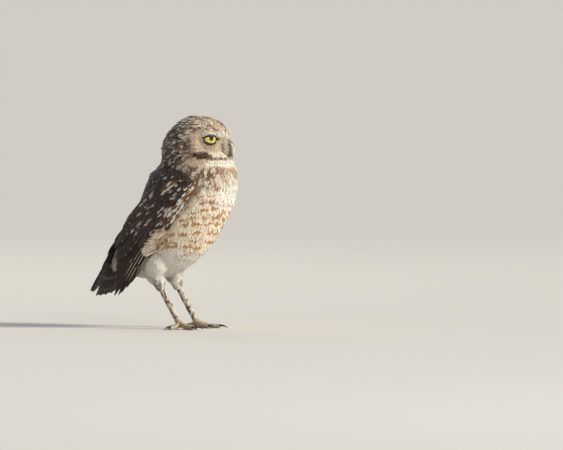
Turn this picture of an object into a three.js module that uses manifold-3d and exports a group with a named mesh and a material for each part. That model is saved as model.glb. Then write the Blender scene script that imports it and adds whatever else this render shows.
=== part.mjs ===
// A burrowing owl, life size, standing upright and at rest with its right wing hanging a little low.
// Millimetres. +X is the way the breast faces, +Y is the bird's left, +Z is up, the floor is z = 0.
// Every part is first placed from the point midway between the feet. The finished bird is then moved
// forward, so that the middle of its length stands over the origin.
import * as THREE from 'three';
import Module from 'manifold-3d';
import { mergeVertices } from 'three/addons/utils/BufferGeometryUtils.js';

const wasm = await Module();
wasm.setup();

// Driving dimensions of the whole bird
const FEET_AHEAD_OF_MIDDLE = 27.9;
const SEAM = 0.3; // the gap kept where two pieces meet
const CROWN_HEIGHT = 238.5;
const STANCE = 19.5; // from the middle to each foot
const SIDES = { right: -1, left: 1 };

// Head: half sizes from its centre, which lies behind and between the eyes
const HEAD = {
  centre: new THREE.Vector3(15.3, 0, 207),
  turn: 8, // degrees that the face is turned to the bird's left of the breast
  front: 41, back: 41, side: 35, down: 36,
  squareness: 9, // how sharply the two cheeks meet each other and the dome
  lean: 0.3, // how far the back of the head runs down and back into the nape
};
const FACE = { bearing: 42, distance: 31.2 }; // each half of the face lies flat across this bearing
const EYE = { radius: 9, forward: 16.4, aside: 17.2, up: 5.8, openWide: 15, openLow: 6.4, openHigh: 3.6 };
const LID = 1.2;
const BILL = { ridge: 41.4, top: 3.5, tip: -16.5, halfWide: 5.9, nostril: 1.25, lowerHalf: 4.2 };

// Folded wing: where the wrist and the tip lie, and how far the wing stands out from the middle between
const WING = {
  right: { wrist: [26, 167], tip: [-81, 31], tipOut: 22, middle: 5 },
  left: { wrist: [24, 169], tip: [-95, 48], tipOut: 24, middle: -2 },
};
// How far the wing stands out from the middle: pairs of the share of its length and the distance
const WING_OUT = [[-0.1, 34], [0, 37], [0.15, 42.5], [0.3, 45], [0.5, 45], [0.7, 39.5], [0.85, 31]];
const WING_CURVE = 50; // radius that the folded wing bends round the body with
const VANE = 1; // thickness of a vane at its shaft
const LAP = 2.2; // how far one edge of a vane stands above the other, so that it clears its neighbour
const PAD = 8; // depth of the fleshy part of the wing under its coverts

// Tail: half spread, with a narrow gap between the outer feathers of the right side and all the others
const TAIL = {
  root: [-81, 101], tip: [-114, 37.5], wide: 15, covertWide: 12, drop: 0.001,
  groups: [{ count: 4, from: -26, to: -18 }, { count: 8, from: -3, to: 26 }],
};

const LEG = { foot: 0.7, ankle: [-24.3, 46], knee: [-30.3, 68], ankleRadius: 4.6, shankRadius: 3.7 };
const THIGH_RADII = [14, 15.5, 12.5, 7.6, 4.7]; // from the hip down to the ankle
const TOE_RADIUS = 2.7;
const SOLE = 0.7; // how much of each toe is worn flat underneath
// Each toe: its bearing outward from the line of the foot in degrees, and its length without the claw
const TOES = {
  inner: { bearing: -24, reach: 20 },
  middle: { bearing: 4, reach: 26.5 },
  outer: { bearing: 74, reach: 18 },
  hind: { bearing: 186, reach: 14 },
};
const FOOT_TURN = { right: 24, left: 5 }; // how far each foot turns outward
const CLAW = { reach: 10.5, radius: 1.75, rise: 2.6 };

const radians = THREE.MathUtils.degToRad;
const mix = THREE.MathUtils.lerp;
const flat = (x, z, y = 0) => new THREE.Vector3(x, y, z);

// Solids. A standard geometry is taken apart to its corners, and place() puts each one where it belongs.
function solid(geometry, place = (p) => p) {
  const bare = geometry.clone();
  bare.deleteAttribute('normal');
  bare.deleteAttribute('uv');
  const merged = mergeVertices(bare, 1e-5);
  const at = merged.attributes.position;
  const corners = new Float32Array(at.count * 3);
  for (let i = 0; i < at.count; i++) {
    place(new THREE.Vector3().fromBufferAttribute(at, i)).toArray(corners, 3 * i);
  }
  const triangles = Uint32Array.from(merged.index.array);
  if (signedVolume(corners, triangles) < 0) triangles.reverse();
  return new wasm.Manifold(new wasm.Mesh({ numProp: 3, vertProperties: corners, triVerts: triangles }));
}

function signedVolume(corners, triangles) {
  const [a, b, c] = [0, 1, 2].map(() => new THREE.Vector3());
  let sum = 0;
  for (let i = 0; i < triangles.length; i += 3) {
    [a, b, c].forEach((v, k) => v.fromArray(corners, 3 * triangles[i + k]));
    sum += a.dot(b.cross(c));
  }
  return sum / 6;
}

const fuse = (solids) => solids.reduce((whole, next) => whole.add(next));

// The largest closed surface alone, without loose scraps and sealed hollows
function largest(piece) {
  return piece.decompose().sort((a, b) => b.volume() - a.volume())[0];
}

// A round-sectioned length: path(t) is its middle line, and radius(t) its half size, from t = 0 to 1
function tube(path, radius, sides, steps) {
  const facing = new THREE.Vector3(0, 1, 0);
  return solid(new THREE.CylinderGeometry(1, 1, 1, sides, steps), (p) => {
    const t = 0.5 - p.y;
    const along = path.getTangent(t);
    const across = new THREE.Vector3().crossVectors(facing, along).normalize();
    const side = new THREE.Vector3().crossVectors(along, across);
    const r = radius(t);
    return path.getPoint(t).addScaledVector(across, p.x * r).addScaledVector(side, p.z * r);
  });
}

// A thin wall across the whole bird at a point, facing along a direction, which parts one piece
// from the next
function seam(point, direction, size = 400) {
  const facing = direction.clone().normalize();
  const turn = new THREE.Quaternion().setFromUnitVectors(new THREE.Vector3(0, 0, 1), facing);
  return solid(new THREE.BoxGeometry(size, size, SEAM), (p) => p.applyQuaternion(turn).add(point));
}

// Torso and neck. Each station: the middle of the section, then its depth to the back, depth to the
// breast, and half width.
const STATIONS = [
  { middle: flat(14, 206), girth: [38, 30, 28] },
  { middle: flat(13, 195), girth: [41, 38, 32] },
  { middle: flat(12, 183), girth: [40.5, 48.5, 35] },
  { middle: flat(8, 168), girth: [43, 54, 37.5] },
  { middle: flat(0, 151), girth: [49, 55, 39.5] },
  { middle: flat(-11, 132), girth: [47, 54.5, 40.5] },
  { middle: flat(-24, 113), girth: [43, 52, 40] },
  { middle: flat(-37, 96), girth: [41, 46, 37.5] },
  { middle: flat(-50, 82), girth: [36, 35, 31.5] },
  { middle: flat(-63, 72), girth: [27, 21, 22] },
  { middle: flat(-74, 66), girth: [14, 9, 11] },
];
const spine = new THREE.CatmullRomCurve3(STATIONS.map((s) => s.middle));
const girth = new THREE.CatmullRomCurve3(STATIONS.map((s) => new THREE.Vector3(...s.girth)));

function torsoShape(grow = 0) {
  return solid(new THREE.CylinderGeometry(1, 1, 1, 32, 16), (p) => {
    const t = 0.5 - p.y;
    const along = spine.getTangent(t);
    const breastward = flat(-along.z, along.x);
    const [back, breast, half] = girth.getPoint(t).toArray();
    const depth = (p.z > 0 ? breast : back) + grow;
    const stretch = (t - 0.5) * 2 * grow;
    const place = spine.getPoint(t).addScaledVector(breastward, p.z * depth).addScaledVector(along, stretch);
    place.y += p.x * (half + grow);
    return place;
  });
}

// Head. A direction from its centre gives a radius, set by the dome and by the two flat halves of the face.
const upright = new THREE.Vector3(0, 0, 1);
const fromHead = (forward, left, up) =>
  new THREE.Vector3(forward, left, up).applyAxisAngle(upright, radians(HEAD.turn)).add(HEAD.centre);
const aim = (bearing, rise) =>
  new THREE.Vector3(1, 0, 0)
    .applyAxisAngle(new THREE.Vector3(0, 1, 0), -radians(rise))
    .applyAxisAngle(upright, radians(bearing));

// A soft swelling of the surface along the arc between two directions
function ridge(direction, from, to, height, spread) {
  const arc = from.angleTo(to);
  const share = THREE.MathUtils.clamp(
    direction.clone().sub(from).dot(to.clone().sub(from)) / from.distanceToSquared(to), 0, 1);
  const nearest = from.clone().lerp(to, share).normalize();
  const away = direction.angleTo(nearest) / radians(spread);
  return arc > 0 ? height * Math.exp(-away * away) : 0;
}

function headRadius(d) {
  const half = new THREE.Vector3(
    d.x > 0 ? HEAD.front : HEAD.back, HEAD.side, d.z > 0 ? CROWN_HEIGHT - HEAD.centre.z : HEAD.down);
  const limits = [1 / Math.hypot(d.x / half.x, d.y / half.y, d.z / half.z)];
  for (const side of [-1, 1]) {
    const facing = d.dot(aim(side * FACE.bearing, 0));
    if (facing > 0) limits.push(FACE.distance / facing);
  }
  let radius = limits.reduce((sum, r) => sum + r ** -HEAD.squareness, 0) ** (-1 / HEAD.squareness);
  for (const side of [-1, 1]) {
    radius += ridge(d, aim(side * 9, 16), aim(side * 62, 27), 2.3, 7.5); // brow over the eye
    radius += ridge(d, aim(side * 80, 12), aim(side * 66, -30), 1.4, 8); // rim of the face behind the cheek
    radius += ridge(d, aim(side * 66, -30), aim(side * 16, -38), 1.6, 8); // rim of the face under the cheek
    radius += ridge(d, aim(side * 17, 0), aim(side * 19, -24), -3.6, 9); // hollow beside the bill
  }
  return radius;
}

function headShape(grow = 0) {
  return solid(new THREE.SphereGeometry(1, 34, 20), (p) => {
    const d = new THREE.Vector3(p.x, -p.z, p.y);
    const place = d.clone().multiplyScalar(headRadius(d) + grow);
    place.x += HEAD.lean * place.z * THREE.MathUtils.clamp(-place.x / HEAD.back, 0, 1);
    return fromHead(...place.toArray());
  });
}

const eyeCentre = (side) => fromHead(EYE.forward, side * EYE.aside, EYE.up);
const eyeAim = (side) => aim(side * FACE.bearing + HEAD.turn, 0);

function eyeBall(side, radius, across = 14, down = 9) {
  const turn = new THREE.Quaternion().setFromUnitVectors(new THREE.Vector3(0, 1, 0), eyeAim(side));
  const ball = new THREE.SphereGeometry(radius, across, down);
  return solid(ball, (p) => p.applyQuaternion(turn).add(eyeCentre(side)));
}

// The opening between the lids: rounded below and nearly straight above, where the brow lies over it
function eyeOpening(side) {
  const outline = new THREE.Shape();
  const half = EYE.openWide / 2;
  outline.moveTo(half, 0);
  outline.quadraticCurveTo(half * 0.75, EYE.openHigh, 0, EYE.openHigh);
  outline.quadraticCurveTo(-half * 0.75, EYE.openHigh, -half, 0.6);
  outline.quadraticCurveTo(-half * 0.85, -EYE.openLow, 0, -EYE.openLow);
  outline.quadraticCurveTo(half * 0.85, -EYE.openLow, half, 0);
  const prism = new THREE.ExtrudeGeometry(outline, { depth: 30, bevelEnabled: false, curveSegments: 5 });
  const level = new THREE.Vector3().crossVectors(upright, eyeAim(side));
  const frame = new THREE.Matrix4().makeBasis(level, upright, eyeAim(side)).setPosition(eyeCentre(side));
  return solid(prism, (p) => p.applyMatrix4(frame));
}

// Bill: the hooked upper half runs down over the lower one, and the closed mouth is the line between them
function billShapes() {
  const curve = (points) => new THREE.CatmullRomCurve3(points.map(([x, z]) => fromHead(x, 0, z)));
  const upperPath = curve([
    [BILL.ridge - 16, BILL.top - 3], [BILL.ridge - 8, BILL.top - 3.4],
    [BILL.ridge - 3.9, -4.6], [BILL.ridge - 2.6, -11], [BILL.ridge - 2.2, BILL.tip]]);
  const lowerPath = curve([
    [BILL.ridge - 17, -9.5], [BILL.ridge - 10, -10.6], [BILL.ridge - 5.6, -13], [BILL.ridge - 4.6, -14.4]]);
  const upper = tube(upperPath, (t) => mix(BILL.halfWide, 0.5, t ** 1.7), 14, 9);
  const nostrils = [-1, 1].map((side) =>
    solid(new THREE.SphereGeometry(BILL.nostril, 8, 6), (p) =>
      p.add(fromHead(BILL.ridge - 4.4, side * (BILL.halfWide - 1.1), BILL.top - 4.6))));
  const lower = (grow) => tube(lowerPath, (t) => mix(BILL.lowerHalf, 0.8, t ** 1.5) + grow, 12, 5);
  return { upper: upper.subtract(fuse(nostrils)).subtract(lower(SEAM)), lower: lower(0) };
}

// Feathers. place(a, b, h) is a point on a sheet: a runs down it, b across it, and h stands off it.
// A vane is a thin blade with its shaft raised, one edge tucked under its neighbour.
const POINTED_WIDTHS = [0.55, 1, 0.86, 0.16];
const BLUNT_WIDTHS = [0.55, 0.9, 1, 0.94, 0.4];
function vane(place, { root, tip, wide, rise = [0, 1], tilt = 0.5, thick = VANE, widths = POINTED_WIDTHS }) {
  const [da, db] = [tip[0] - root[0], tip[1] - root[1]];
  const length = Math.hypot(da, db);
  return solid(new THREE.CylinderGeometry(1, 1, 1, 4, widths.length - 1), (p) => {
    const even = 0.5 - p.y;
    const t = 1 - (1 - even) ** 1.35; // the steps close up towards the rounded tip
    const half = (wide / 2) * widths[Math.round(even * (widths.length - 1))] * p.x;
    const lift = mix(rise[0], rise[1], t) - tilt * p.x * 0.5 + (p.z * thick) / 2;
    return place(root[0] + da * t - (db / length) * half, root[1] + db * t + (da / length) * half, lift);
  });
}

// A row of vanes whose roots and tips step evenly between the first and the last
function tier(place, count, first, last, more = {}) {
  return Array.from({ length: count }, (_, i) => {
    const t = count > 1 ? i / (count - 1) : 0;
    const step = (key) => first[key].map((v, k) => mix(v, last[key][k], t));
    const stagger = 1.6 * Math.sin(2.4 * i + count);
    const tip = step('tip');
    tip[0] += stagger;
    return vane(place, { root: step('root'), tip, wide: mix(first.wide, last.wide, t), ...more });
  });
}

// Wing. Its sheet bends round the body: a runs from the wrist to the tip, b from the leading edge to
// the back.
function wingSheet(side) {
  const { wrist, tip, tipOut, middle } = WING[side];
  const length = Math.hypot(tip[0] - wrist[0], tip[1] - wrist[1]);
  const along = flat((tip[0] - wrist[0]) / length, (tip[1] - wrist[1]) / length);
  const backward = flat(along.z, -along.x);
  const out = new THREE.SplineCurve(
    [...WING_OUT, [1, tipOut]].map(([t, y]) => new THREE.Vector2(t, y)));
  const outAt = (t) => {
    let low = 0;
    let high = 1;
    for (let i = 0; i < 20; i++) {
      const half = (low + high) / 2;
      if (out.getPoint(half).x < t) low = half;
      else high = half;
    }
    return out.getPoint(low).y;
  };
  return (a, b, h) => {
    const angle = (b - middle) / WING_CURVE;
    const reach = WING_CURVE + h;
    const place = flat(wrist[0], wrist[1]).addScaledVector(along, a).addScaledVector(backward, middle);
    place.addScaledVector(backward, reach * Math.sin(angle));
    place.y = SIDES[side] * (outAt(a / length) - WING_CURVE + reach * Math.cos(angle));
    return place;
  };
}

// The fleshy part of the wing, thick in the middle and thin at its edges, which the feathers grow from
function wingPad(place) {
  return solid(new THREE.SphereGeometry(1, 16, 10), (p) => {
    const a = 48 + 62 * p.y;
    const b = 14 + 29 * p.x * (1 - 0.12 * p.y);
    return place(a, b, p.z > 0 ? 1.2 * p.z : PAD * p.z);
  });
}

function wingShape(side) {
  const place = wingSheet(side);
  const row = (count, first, last, rise, tilt = LAP) => tier(place, count, first, last, { rise, tilt });
  const pieces = [
    wingPad(place),
    // primaries, from the short ones at the leading edge to the inner ones under the secondaries
    ...row(3, { root: [62, -8], tip: [143, -7], wide: 9 },
      { root: [62, -2], tip: [168, 0], wide: 10 }, [-2, -3]),
    ...row(5, { root: [66, 2], tip: [171, 5], wide: 11 },
      { root: [74, 18], tip: [136, 21], wide: 13 }, [-2, -1]),
    // secondaries, and the tertials that close the wing over the rump
    ...row(6, { root: [72, 14], tip: [130, 22], wide: 13 },
      { root: [72, 32], tip: [117, 35], wide: 14 }, [-1.8, 1]),
    ...row(2, { root: [64, 33], tip: [122, 32], wide: 14 },
      { root: [58, 36], tip: [106, 38], wide: 14 }, [-1.5, 3]),
    // coverts, row above row
    ...row(3, { root: [64, -10], tip: [104, -10], wide: 8 },
      { root: [64, -2], tip: [100, -1], wide: 9 }, [-1.5, 0.6]),
    ...row(5, { root: [56, 4], tip: [94, 5], wide: 12 },
      { root: [56, 33], tip: [88, 36], wide: 12 }, [-1.5, 2.6]),
    ...row(5, { root: [36, -6], tip: [71, -8], wide: 13 },
      { root: [36, 32], tip: [66, 33], wide: 13 }, [-1, 3]),
    ...row(5, { root: [18, -4], tip: [49, -7], wide: 11 },
      { root: [18, 27], tip: [45, 29], wide: 11 }, [-1, 3]),
    ...row(3, { root: [3, -1], tip: [28, -4], wide: 12 },
      { root: [3, 19], tip: [25, 22], wide: 12 }, [-1.5, 2.4]),
    // scapulars along the edge of the back
    ...row(4, { root: [2, 29], tip: [36, 39], wide: 14 },
      { root: [56, 39], tip: [94, 40], wide: 13 }, [-1, 3.4], -1),
  ];
  return fuse(pieces);
}

// Tail. Its sheet is flat: a runs from the root to the tip, b to the bird's left, and h stands up off
// its back.
function tailShape(grow = 0) {
  const root = flat(...TAIL.root);
  const length = root.distanceTo(flat(...TAIL.tip));
  const along = flat(...TAIL.tip).sub(root).divideScalar(length);
  const above = flat(along.z, -along.x);
  const place = (a, b, h) => {
    const point = root.clone().addScaledVector(along, a).addScaledVector(above, h - TAIL.drop * b * b);
    point.y = b;
    return point;
  };
  const thick = VANE + 2 * grow;
  const feathers = TAIL.groups.flatMap(({ count, from, to }) => Array.from({ length: count }, (_, i) => {
    const across = mix(from, to, i / (count - 1));
    const away = Math.abs(across);
    const wide = TAIL.wide + 2 * grow;
    const tip = [length - 0.005 * away * away - 1.5 * (i % 2), across];
    const lift = 1.4 - 0.05 * away;
    return vane(place, {
      root: [2, 0.3 * across], tip, wide, rise: [0.3 * lift, lift], tilt: Math.sign(across) * LAP,
      thick, widths: BLUNT_WIDTHS,
    });
  }));
  const rump = solid(new THREE.SphereGeometry(1, 14, 8), (p) =>
    place(10 + 26 * p.y, (17 + grow) * p.x, (5.5 + grow) * p.z - 1));
  const wide = TAIL.covertWide + 2 * grow;
  const coverts = (root, tip, rise) => tier(place, 5,
    { root: [root, -11], tip: [tip, -17], wide }, { root: [root, 11], tip: [tip, 17], wide },
    { rise, tilt: 1, thick });
  return fuse([rump, ...feathers, ...coverts(6, 34, [1, 3]), ...coverts(8, 46, [-3, -7])]);
}

// Leg: the feathered shank above the ankle, the bare-looking lower leg, and the foot, in one run
function thighShape(side, grow = 0) {
  const y = side * STANCE;
  const path = new THREE.CatmullRomCurve3([
    flat(LEG.knee[0] + 11, 92, y * 1.05), flat(LEG.knee[0] + 3, LEG.knee[1] + 8, y * 1.08),
    flat(LEG.knee[0], LEG.knee[1] - 6, y * 1.05),
    flat(LEG.ankle[0] - 1.5, LEG.ankle[1] + 5, y), flat(LEG.ankle[0] + 1.5, LEG.ankle[1] - 4, y)]);
  const radii = new THREE.SplineCurve(THIGH_RADII.map((r, i) => new THREE.Vector2(i, r)));
  return tube(path, (t) => radii.getPoint(t).y + grow, 18, 12);
}

const footJoint = (side) => flat(LEG.foot, 6.2, side * STANCE);

function shankShape(side) {
  const y = side * STANCE;
  const path = new THREE.CatmullRomCurve3([
    flat(LEG.ankle[0] - 1, LEG.ankle[1] + 3, y), flat(LEG.ankle[0] + 7.5, LEG.ankle[1] - 11.5, y),
    flat(LEG.foot - 7.5, 18, y), footJoint(side)]);
  const radius = (t) => LEG.shankRadius + (LEG.ankleRadius - LEG.shankRadius) * (2 * t - 1) ** 4;
  return tube(path, radius, 14, 8);
}

function toeAim(side, bearing) {
  return aim(side * (bearing + FOOT_TURN[side < 0 ? 'right' : 'left']), 0);
}

function toeShape(side, { bearing, reach }) {
  const start = footJoint(side);
  const end = start.clone().addScaledVector(toeAim(side, bearing), reach);
  const low = TOE_RADIUS - SOLE;
  const path = new THREE.CatmullRomCurve3([
    start.clone().setZ(6.4), start.clone().lerp(end, 0.3).setZ(low + 2),
    start.clone().lerp(end, 0.62).setZ(low + 0.5), end.clone().setZ(low + 0.2)]);
  return tube(path, (t) => TOE_RADIUS * (1.2 - 0.28 * t + 0.09 * Math.sin(t * 19)), 8, 6);
}

function clawShape(side, { bearing, reach }) {
  const start = footJoint(side).addScaledVector(toeAim(side, bearing), reach).setZ(TOE_RADIUS + 0.1);
  const go = toeAim(side, bearing);
  const path = new THREE.CatmullRomCurve3([
    start.clone().addScaledVector(go, -3), start.clone().addScaledVector(go, 1).setZ(start.z + 0.3),
    start.clone().addScaledVector(go, CLAW.reach * 0.6).setZ(CLAW.rise),
    start.clone().addScaledVector(go, CLAW.reach * 0.95).setZ(0.45)]);
  return tube(path, (t) => mix(CLAW.radius, 0.28, t ** 1.2), 7, 5);
}

const floorWall = solid(new THREE.BoxGeometry(400, 400, 40), (p) => p.add(new THREE.Vector3(0, 0, -20)));

// Materials
const coat = (color) => new THREE.MeshStandardMaterial({ color, roughness: 0.9, metalness: 0 });
const MATERIALS = {
  head: coat(0xb79c7c),
  throat: coat(0xd8c6a8),
  body: coat(0xe2cfae),
  wing: coat(0x4a3a2c),
  tail: coat(0x43352a),
  thigh: coat(0xeee2cc),
  leg: coat(0xc9b79c),
  foot: new THREE.MeshStandardMaterial({ color: 0x8f8272, roughness: 0.7, metalness: 0 }),
  claw: new THREE.MeshStandardMaterial({ color: 0x1d1a18, roughness: 0.35, metalness: 0 }),
  bill: new THREE.MeshStandardMaterial({ color: 0xb3a878, roughness: 0.4, metalness: 0 }),
  eye: new THREE.MeshStandardMaterial({ color: 0xe6d21f, roughness: 0.08, metalness: 0 }),
};

const owl = new THREE.Group();
function add(name, piece, material) {
  const { numProp, vertProperties, triVerts } = largest(piece).getMesh();
  const geometry = new THREE.BufferGeometry();
  geometry.setAttribute('position', new THREE.BufferAttribute(Float32Array.from(vertProperties), numProp));
  geometry.setIndex(new THREE.BufferAttribute(Uint32Array.from(triVerts), 1));
  geometry.computeVertexNormals();
  const mesh = new THREE.Mesh(geometry, material);
  mesh.name = name;
  owl.add(mesh);
}

// Body, neck and head are shaped whole and parted by two thin seams
const body = fuse([torsoShape(), headShape()]);
const bodyRoom = fuse([torsoShape(SEAM), headShape(SEAM)]);
const lidBalls = fuse([-1, 1].map((side) => eyeBall(side, EYE.radius + SEAM + LID)));
const eyeRoom = fuse([-1, 1].flatMap((side) => [eyeBall(side, EYE.radius + SEAM), eyeOpening(side)]));
const faced = body.add(lidBalls).subtract(eyeRoom);
const seams = fuse([seam(flat(12, 184), flat(-0.06, 1)), seam(flat(8, 165.5), flat(0.34, 1))]);
const [torso, neck, head] = faced.subtract(seams).decompose()
  .filter((piece) => piece.volume() > 1000)
  .sort((a, b) => a.boundingBox().min[2] - b.boundingBox().min[2]);

const tailRoom = tailShape(SEAM);
const bill = billShapes();
add('head', head, MATERIALS.head);
add('neck', neck, MATERIALS.throat);
add('torso', torso, MATERIALS.body);
add('bill_upper', bill.upper.subtract(bodyRoom), MATERIALS.bill);
add('bill_lower', bill.lower.subtract(bodyRoom), MATERIALS.bill);
add('tail', tailShape().subtract(bodyRoom), MATERIALS.tail);

for (const [name, side] of Object.entries(SIDES)) {
  add(`eye_${name}`, eyeBall(side, EYE.radius), MATERIALS.eye);
  add(`wing_${name}`, wingShape(name).subtract(fuse([bodyRoom, tailRoom])), MATERIALS.wing);

  const toes = Object.values(TOES).map((toe) => toeShape(side, toe));
  const joint = footJoint(side);
  const leg = fuse([thighShape(side), shankShape(side), ...toes]).subtract(floorWall);
  const claws = Object.entries(TOES).map(([toeName, toe]) => {
    const go = toeAim(side, toe.bearing);
    const end = joint.clone().addScaledVector(go, toe.reach).setZ(TOE_RADIUS);
    return { toeName, claw: clawShape(side, toe), cut: end, go };
  });
  const ankleSeam = seam(flat(LEG.ankle[0] + 2, LEG.ankle[1] - 3.4, side * STANCE), flat(-0.5, 0.86), 40);
  const footSeam = seam(joint.clone().add(flat(-2.4, 3.6)), flat(-0.5, 0.86), 24);
  const [foot, shank, thigh] = leg.subtract(fuse([ankleSeam, footSeam])).subtract(bodyRoom).decompose()
    .filter((piece) => piece.volume() > 100)
    .sort((a, b) => a.boundingBox().min[2] - b.boundingBox().min[2]);
  add(`thigh_${name}`, thigh, MATERIALS.thigh);
  add(`leg_${name}`, shank, MATERIALS.leg);
  const clawRoom = fuse(claws.map(({ cut, go }) => seam(cut, go, 12)));
  add(`foot_${name}`, foot.subtract(clawRoom), MATERIALS.foot);
  for (const { toeName, claw, cut, go } of claws) {
    const toeEnd = solid(new THREE.BoxGeometry(40, 40, 40), (p) =>
      p.applyQuaternion(new THREE.Quaternion().setFromUnitVectors(new THREE.Vector3(0, 0, 1), go))
        .add(cut).addScaledVector(go, -20 + SEAM / 2));
    add(`claw_${name}_${toeName}`, claw.subtract(toeEnd).subtract(floorWall), MATERIALS.claw);
  }
}

owl.position.x = FEET_AHEAD_OF_MIDDLE;

export default owl;
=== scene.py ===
import math
from functools import partial
from itertools import product

import bmesh
import bpy
import numpy as np
from bpy.props import FloatProperty, FloatVectorProperty, IntProperty, PointerProperty
from mathutils import Matrix, Vector


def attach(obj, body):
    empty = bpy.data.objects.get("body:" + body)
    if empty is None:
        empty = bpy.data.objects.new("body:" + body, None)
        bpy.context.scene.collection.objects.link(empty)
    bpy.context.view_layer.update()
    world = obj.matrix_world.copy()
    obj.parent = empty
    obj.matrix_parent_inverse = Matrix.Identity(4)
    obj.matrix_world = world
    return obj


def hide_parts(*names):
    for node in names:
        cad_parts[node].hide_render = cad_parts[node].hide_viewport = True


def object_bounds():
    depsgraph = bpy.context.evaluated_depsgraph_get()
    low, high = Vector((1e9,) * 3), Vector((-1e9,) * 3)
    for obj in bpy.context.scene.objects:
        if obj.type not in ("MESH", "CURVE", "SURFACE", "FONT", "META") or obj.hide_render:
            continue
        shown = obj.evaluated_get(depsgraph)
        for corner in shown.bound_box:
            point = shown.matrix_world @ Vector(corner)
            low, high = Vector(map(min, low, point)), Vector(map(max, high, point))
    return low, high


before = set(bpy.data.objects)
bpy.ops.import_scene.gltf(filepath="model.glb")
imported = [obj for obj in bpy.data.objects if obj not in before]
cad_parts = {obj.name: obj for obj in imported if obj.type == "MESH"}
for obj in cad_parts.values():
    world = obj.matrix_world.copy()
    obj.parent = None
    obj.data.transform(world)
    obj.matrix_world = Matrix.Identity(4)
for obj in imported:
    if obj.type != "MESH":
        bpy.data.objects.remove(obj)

bl_info = {
    "name": "Burrowing owl",
    "version": (1, 0, 0),
    "blender": (4, 5, 0),
    "location": "View3D > Sidebar > Owl",
    "description": "Builds a life-size burrowing owl, feather by feather, round its solid model",
    "category": "Add Mesh",
}

MM = 0.001
FRAME_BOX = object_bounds()
SIDES = {"right": -1, "left": 1}
NEIGHBOURS = list(product((-1, 0, 1), repeat=3))

# The photograph's frame and the scale that the owl has in it
PHOTO_WIDE = 563
PHOTO_HIGH = 450
MM_PER_PIXEL = 1.12
FEET_COLUMN = 188
SOLE_ROW = 328
FEET_AHEAD = 27.9  # mm from the origin forward to the point midway between the feet

# What each run of random draws is for, as a step past the seed
DRAWS = {"body": 0, "head": 1, "head_roots": 2, "wings": 11, "tail": 21, "legs": 31}


def linear(colour):
    """An sRGB hex value as a linear colour."""
    channels = [int(colour[i:i + 2], 16) / 255 for i in (1, 3, 5)]
    return [c / 12.92 if c <= 0.04045 else ((c + 0.055) / 1.055) ** 2.4 for c in channels]


BLACK_SKIN = linear("#14100E")
# Black of the nostrils: painted shade of the openings, laid on solid balls.
NOSTRIL = linear("#0F0B09")


def colour_property(label, text, value):
    return FloatVectorProperty(name=label, description=text, default=linear(value), size=3,
                               subtype="COLOR", min=0, max=1)


def length_property(label, text, millimetres):
    return FloatProperty(name=label, description=text, default=millimetres * MM,
                         subtype="DISTANCE", unit="LENGTH")


def angle_property(label, text, degrees):
    return FloatProperty(name=label, description=text, default=math.radians(degrees),
                         subtype="ANGLE", unit="ROTATION")


class OwlSizes(bpy.types.PropertyGroup):
    coat_depth: length_property("Coat depth", "How far the skin lies inside the body's solids", 1.3)
    head_coat_depth: length_property("Head coat depth", "The same on the head", 1.5)
    breast_feather: length_property("Breast feather", "Length of a breast feather", 9.5)
    crown_feather: length_property("Crown feather", "Length of a crown feather", 6)
    face_feather: length_property("Face feather", "Length of a feather near the eye", 3.4)
    eye_turn: angle_property("Eye turn", "Bearing of each eye from straight ahead", 42)
    camera_height: angle_property("Camera elevation", "How far the camera looks down", 2)
    camera_turn: angle_property("Camera turn", "How far forward of the right side the camera stands", 29)
    seed: IntProperty(name="Seed", description="Start of every random draw", default=7)


class OwlColours(bpy.types.PropertyGroup):
    cream: colour_property("Cream", "Ground of the breast and belly", "#F6E6CC")
    white: colour_property("White", "Chin, brow, vent and leg feathers", "#F5EEE1")
    tawny: colour_property("Tawny", "Spots of the breast and belly", "#B67F45")
    buff: colour_property("Buff", "Ground of the crown and face", "#D2B695")
    brown: colour_property("Brown", "Bars, streaks and the mark under the cheek", "#4B3120")
    umber: colour_property("Umber", "Back, wings and tail", "#35271E")
    spot: colour_property("Pale spot", "Spots of the back and wings", "#BDB4A8")
    iris: colour_property("Iris", "Iris of the eye", "#E2D348")
    horn: colour_property("Horn", "Bill", "#7B7460")
    ridge: colour_property("Bill ridge", "Ridge and tip of the bill", "#CFC49C")
    claw: colour_property("Claw", "Claws", "#1C1715")
    leg: colour_property("Leg", "Skin of the legs and toes", "#A8957C")
    floor: colour_property("Floor", "Floor", "#D8D5CD")


def sizes():
    return bpy.context.scene.owl_sizes


def paint(name):
    return np.array(getattr(bpy.context.scene.owl_colours, name)[:])


def paints(*names):
    return [paint(name) for name in names]


def draws(use):
    """The random draws of one group of pieces."""
    return np.random.default_rng(sizes().seed + DRAWS[use])


def vary(rng, count, low, high):
    """Random values between two others, one for each feather."""
    return low + (high - low) * rng.random(count)


# Materials

NO_MARK = 0.01  # half width of a mark too narrow to show
PLAIN = [NO_MARK, 0.5, 0.1, 0.0]


def node(tree, kind, settings=None, links=None):
    """Adds one shader node. Settings are its own properties or else the values of its sockets, and
    links give a socket the first output of another node, or else one given as (node, output)."""
    made = tree.nodes.new(kind)
    for key, value in (settings or {}).items():
        if isinstance(key, str) and hasattr(made, key):
            setattr(made, key, value)
        else:
            made.inputs[key].default_value = value
    for key, source in (links or {}).items():
        giver, output = source if isinstance(source, tuple) else (source, 0)
        tree.links.new(giver.outputs[output], made.inputs[key])
    return made


def material(name, roughness, **values):
    """A new material with its shader's constant values."""
    made = bpy.data.materials.new(name)
    made.use_nodes = True
    shader = made.node_tree.nodes["Principled BSDF"]
    shader.inputs["Roughness"].default_value = roughness
    for key, value in values.items():
        shader.inputs[key.replace("_", " ")].default_value = value
    return made, made.node_tree, shader


def finish_shader(tree, shader, colour, relief):
    """Gives a material's shader its colour and its relief."""
    tree.links.new(colour.outputs[2], shader.inputs["Base Color"])
    tree.links.new(relief.outputs["Normal"], shader.inputs["Normal"])


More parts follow.
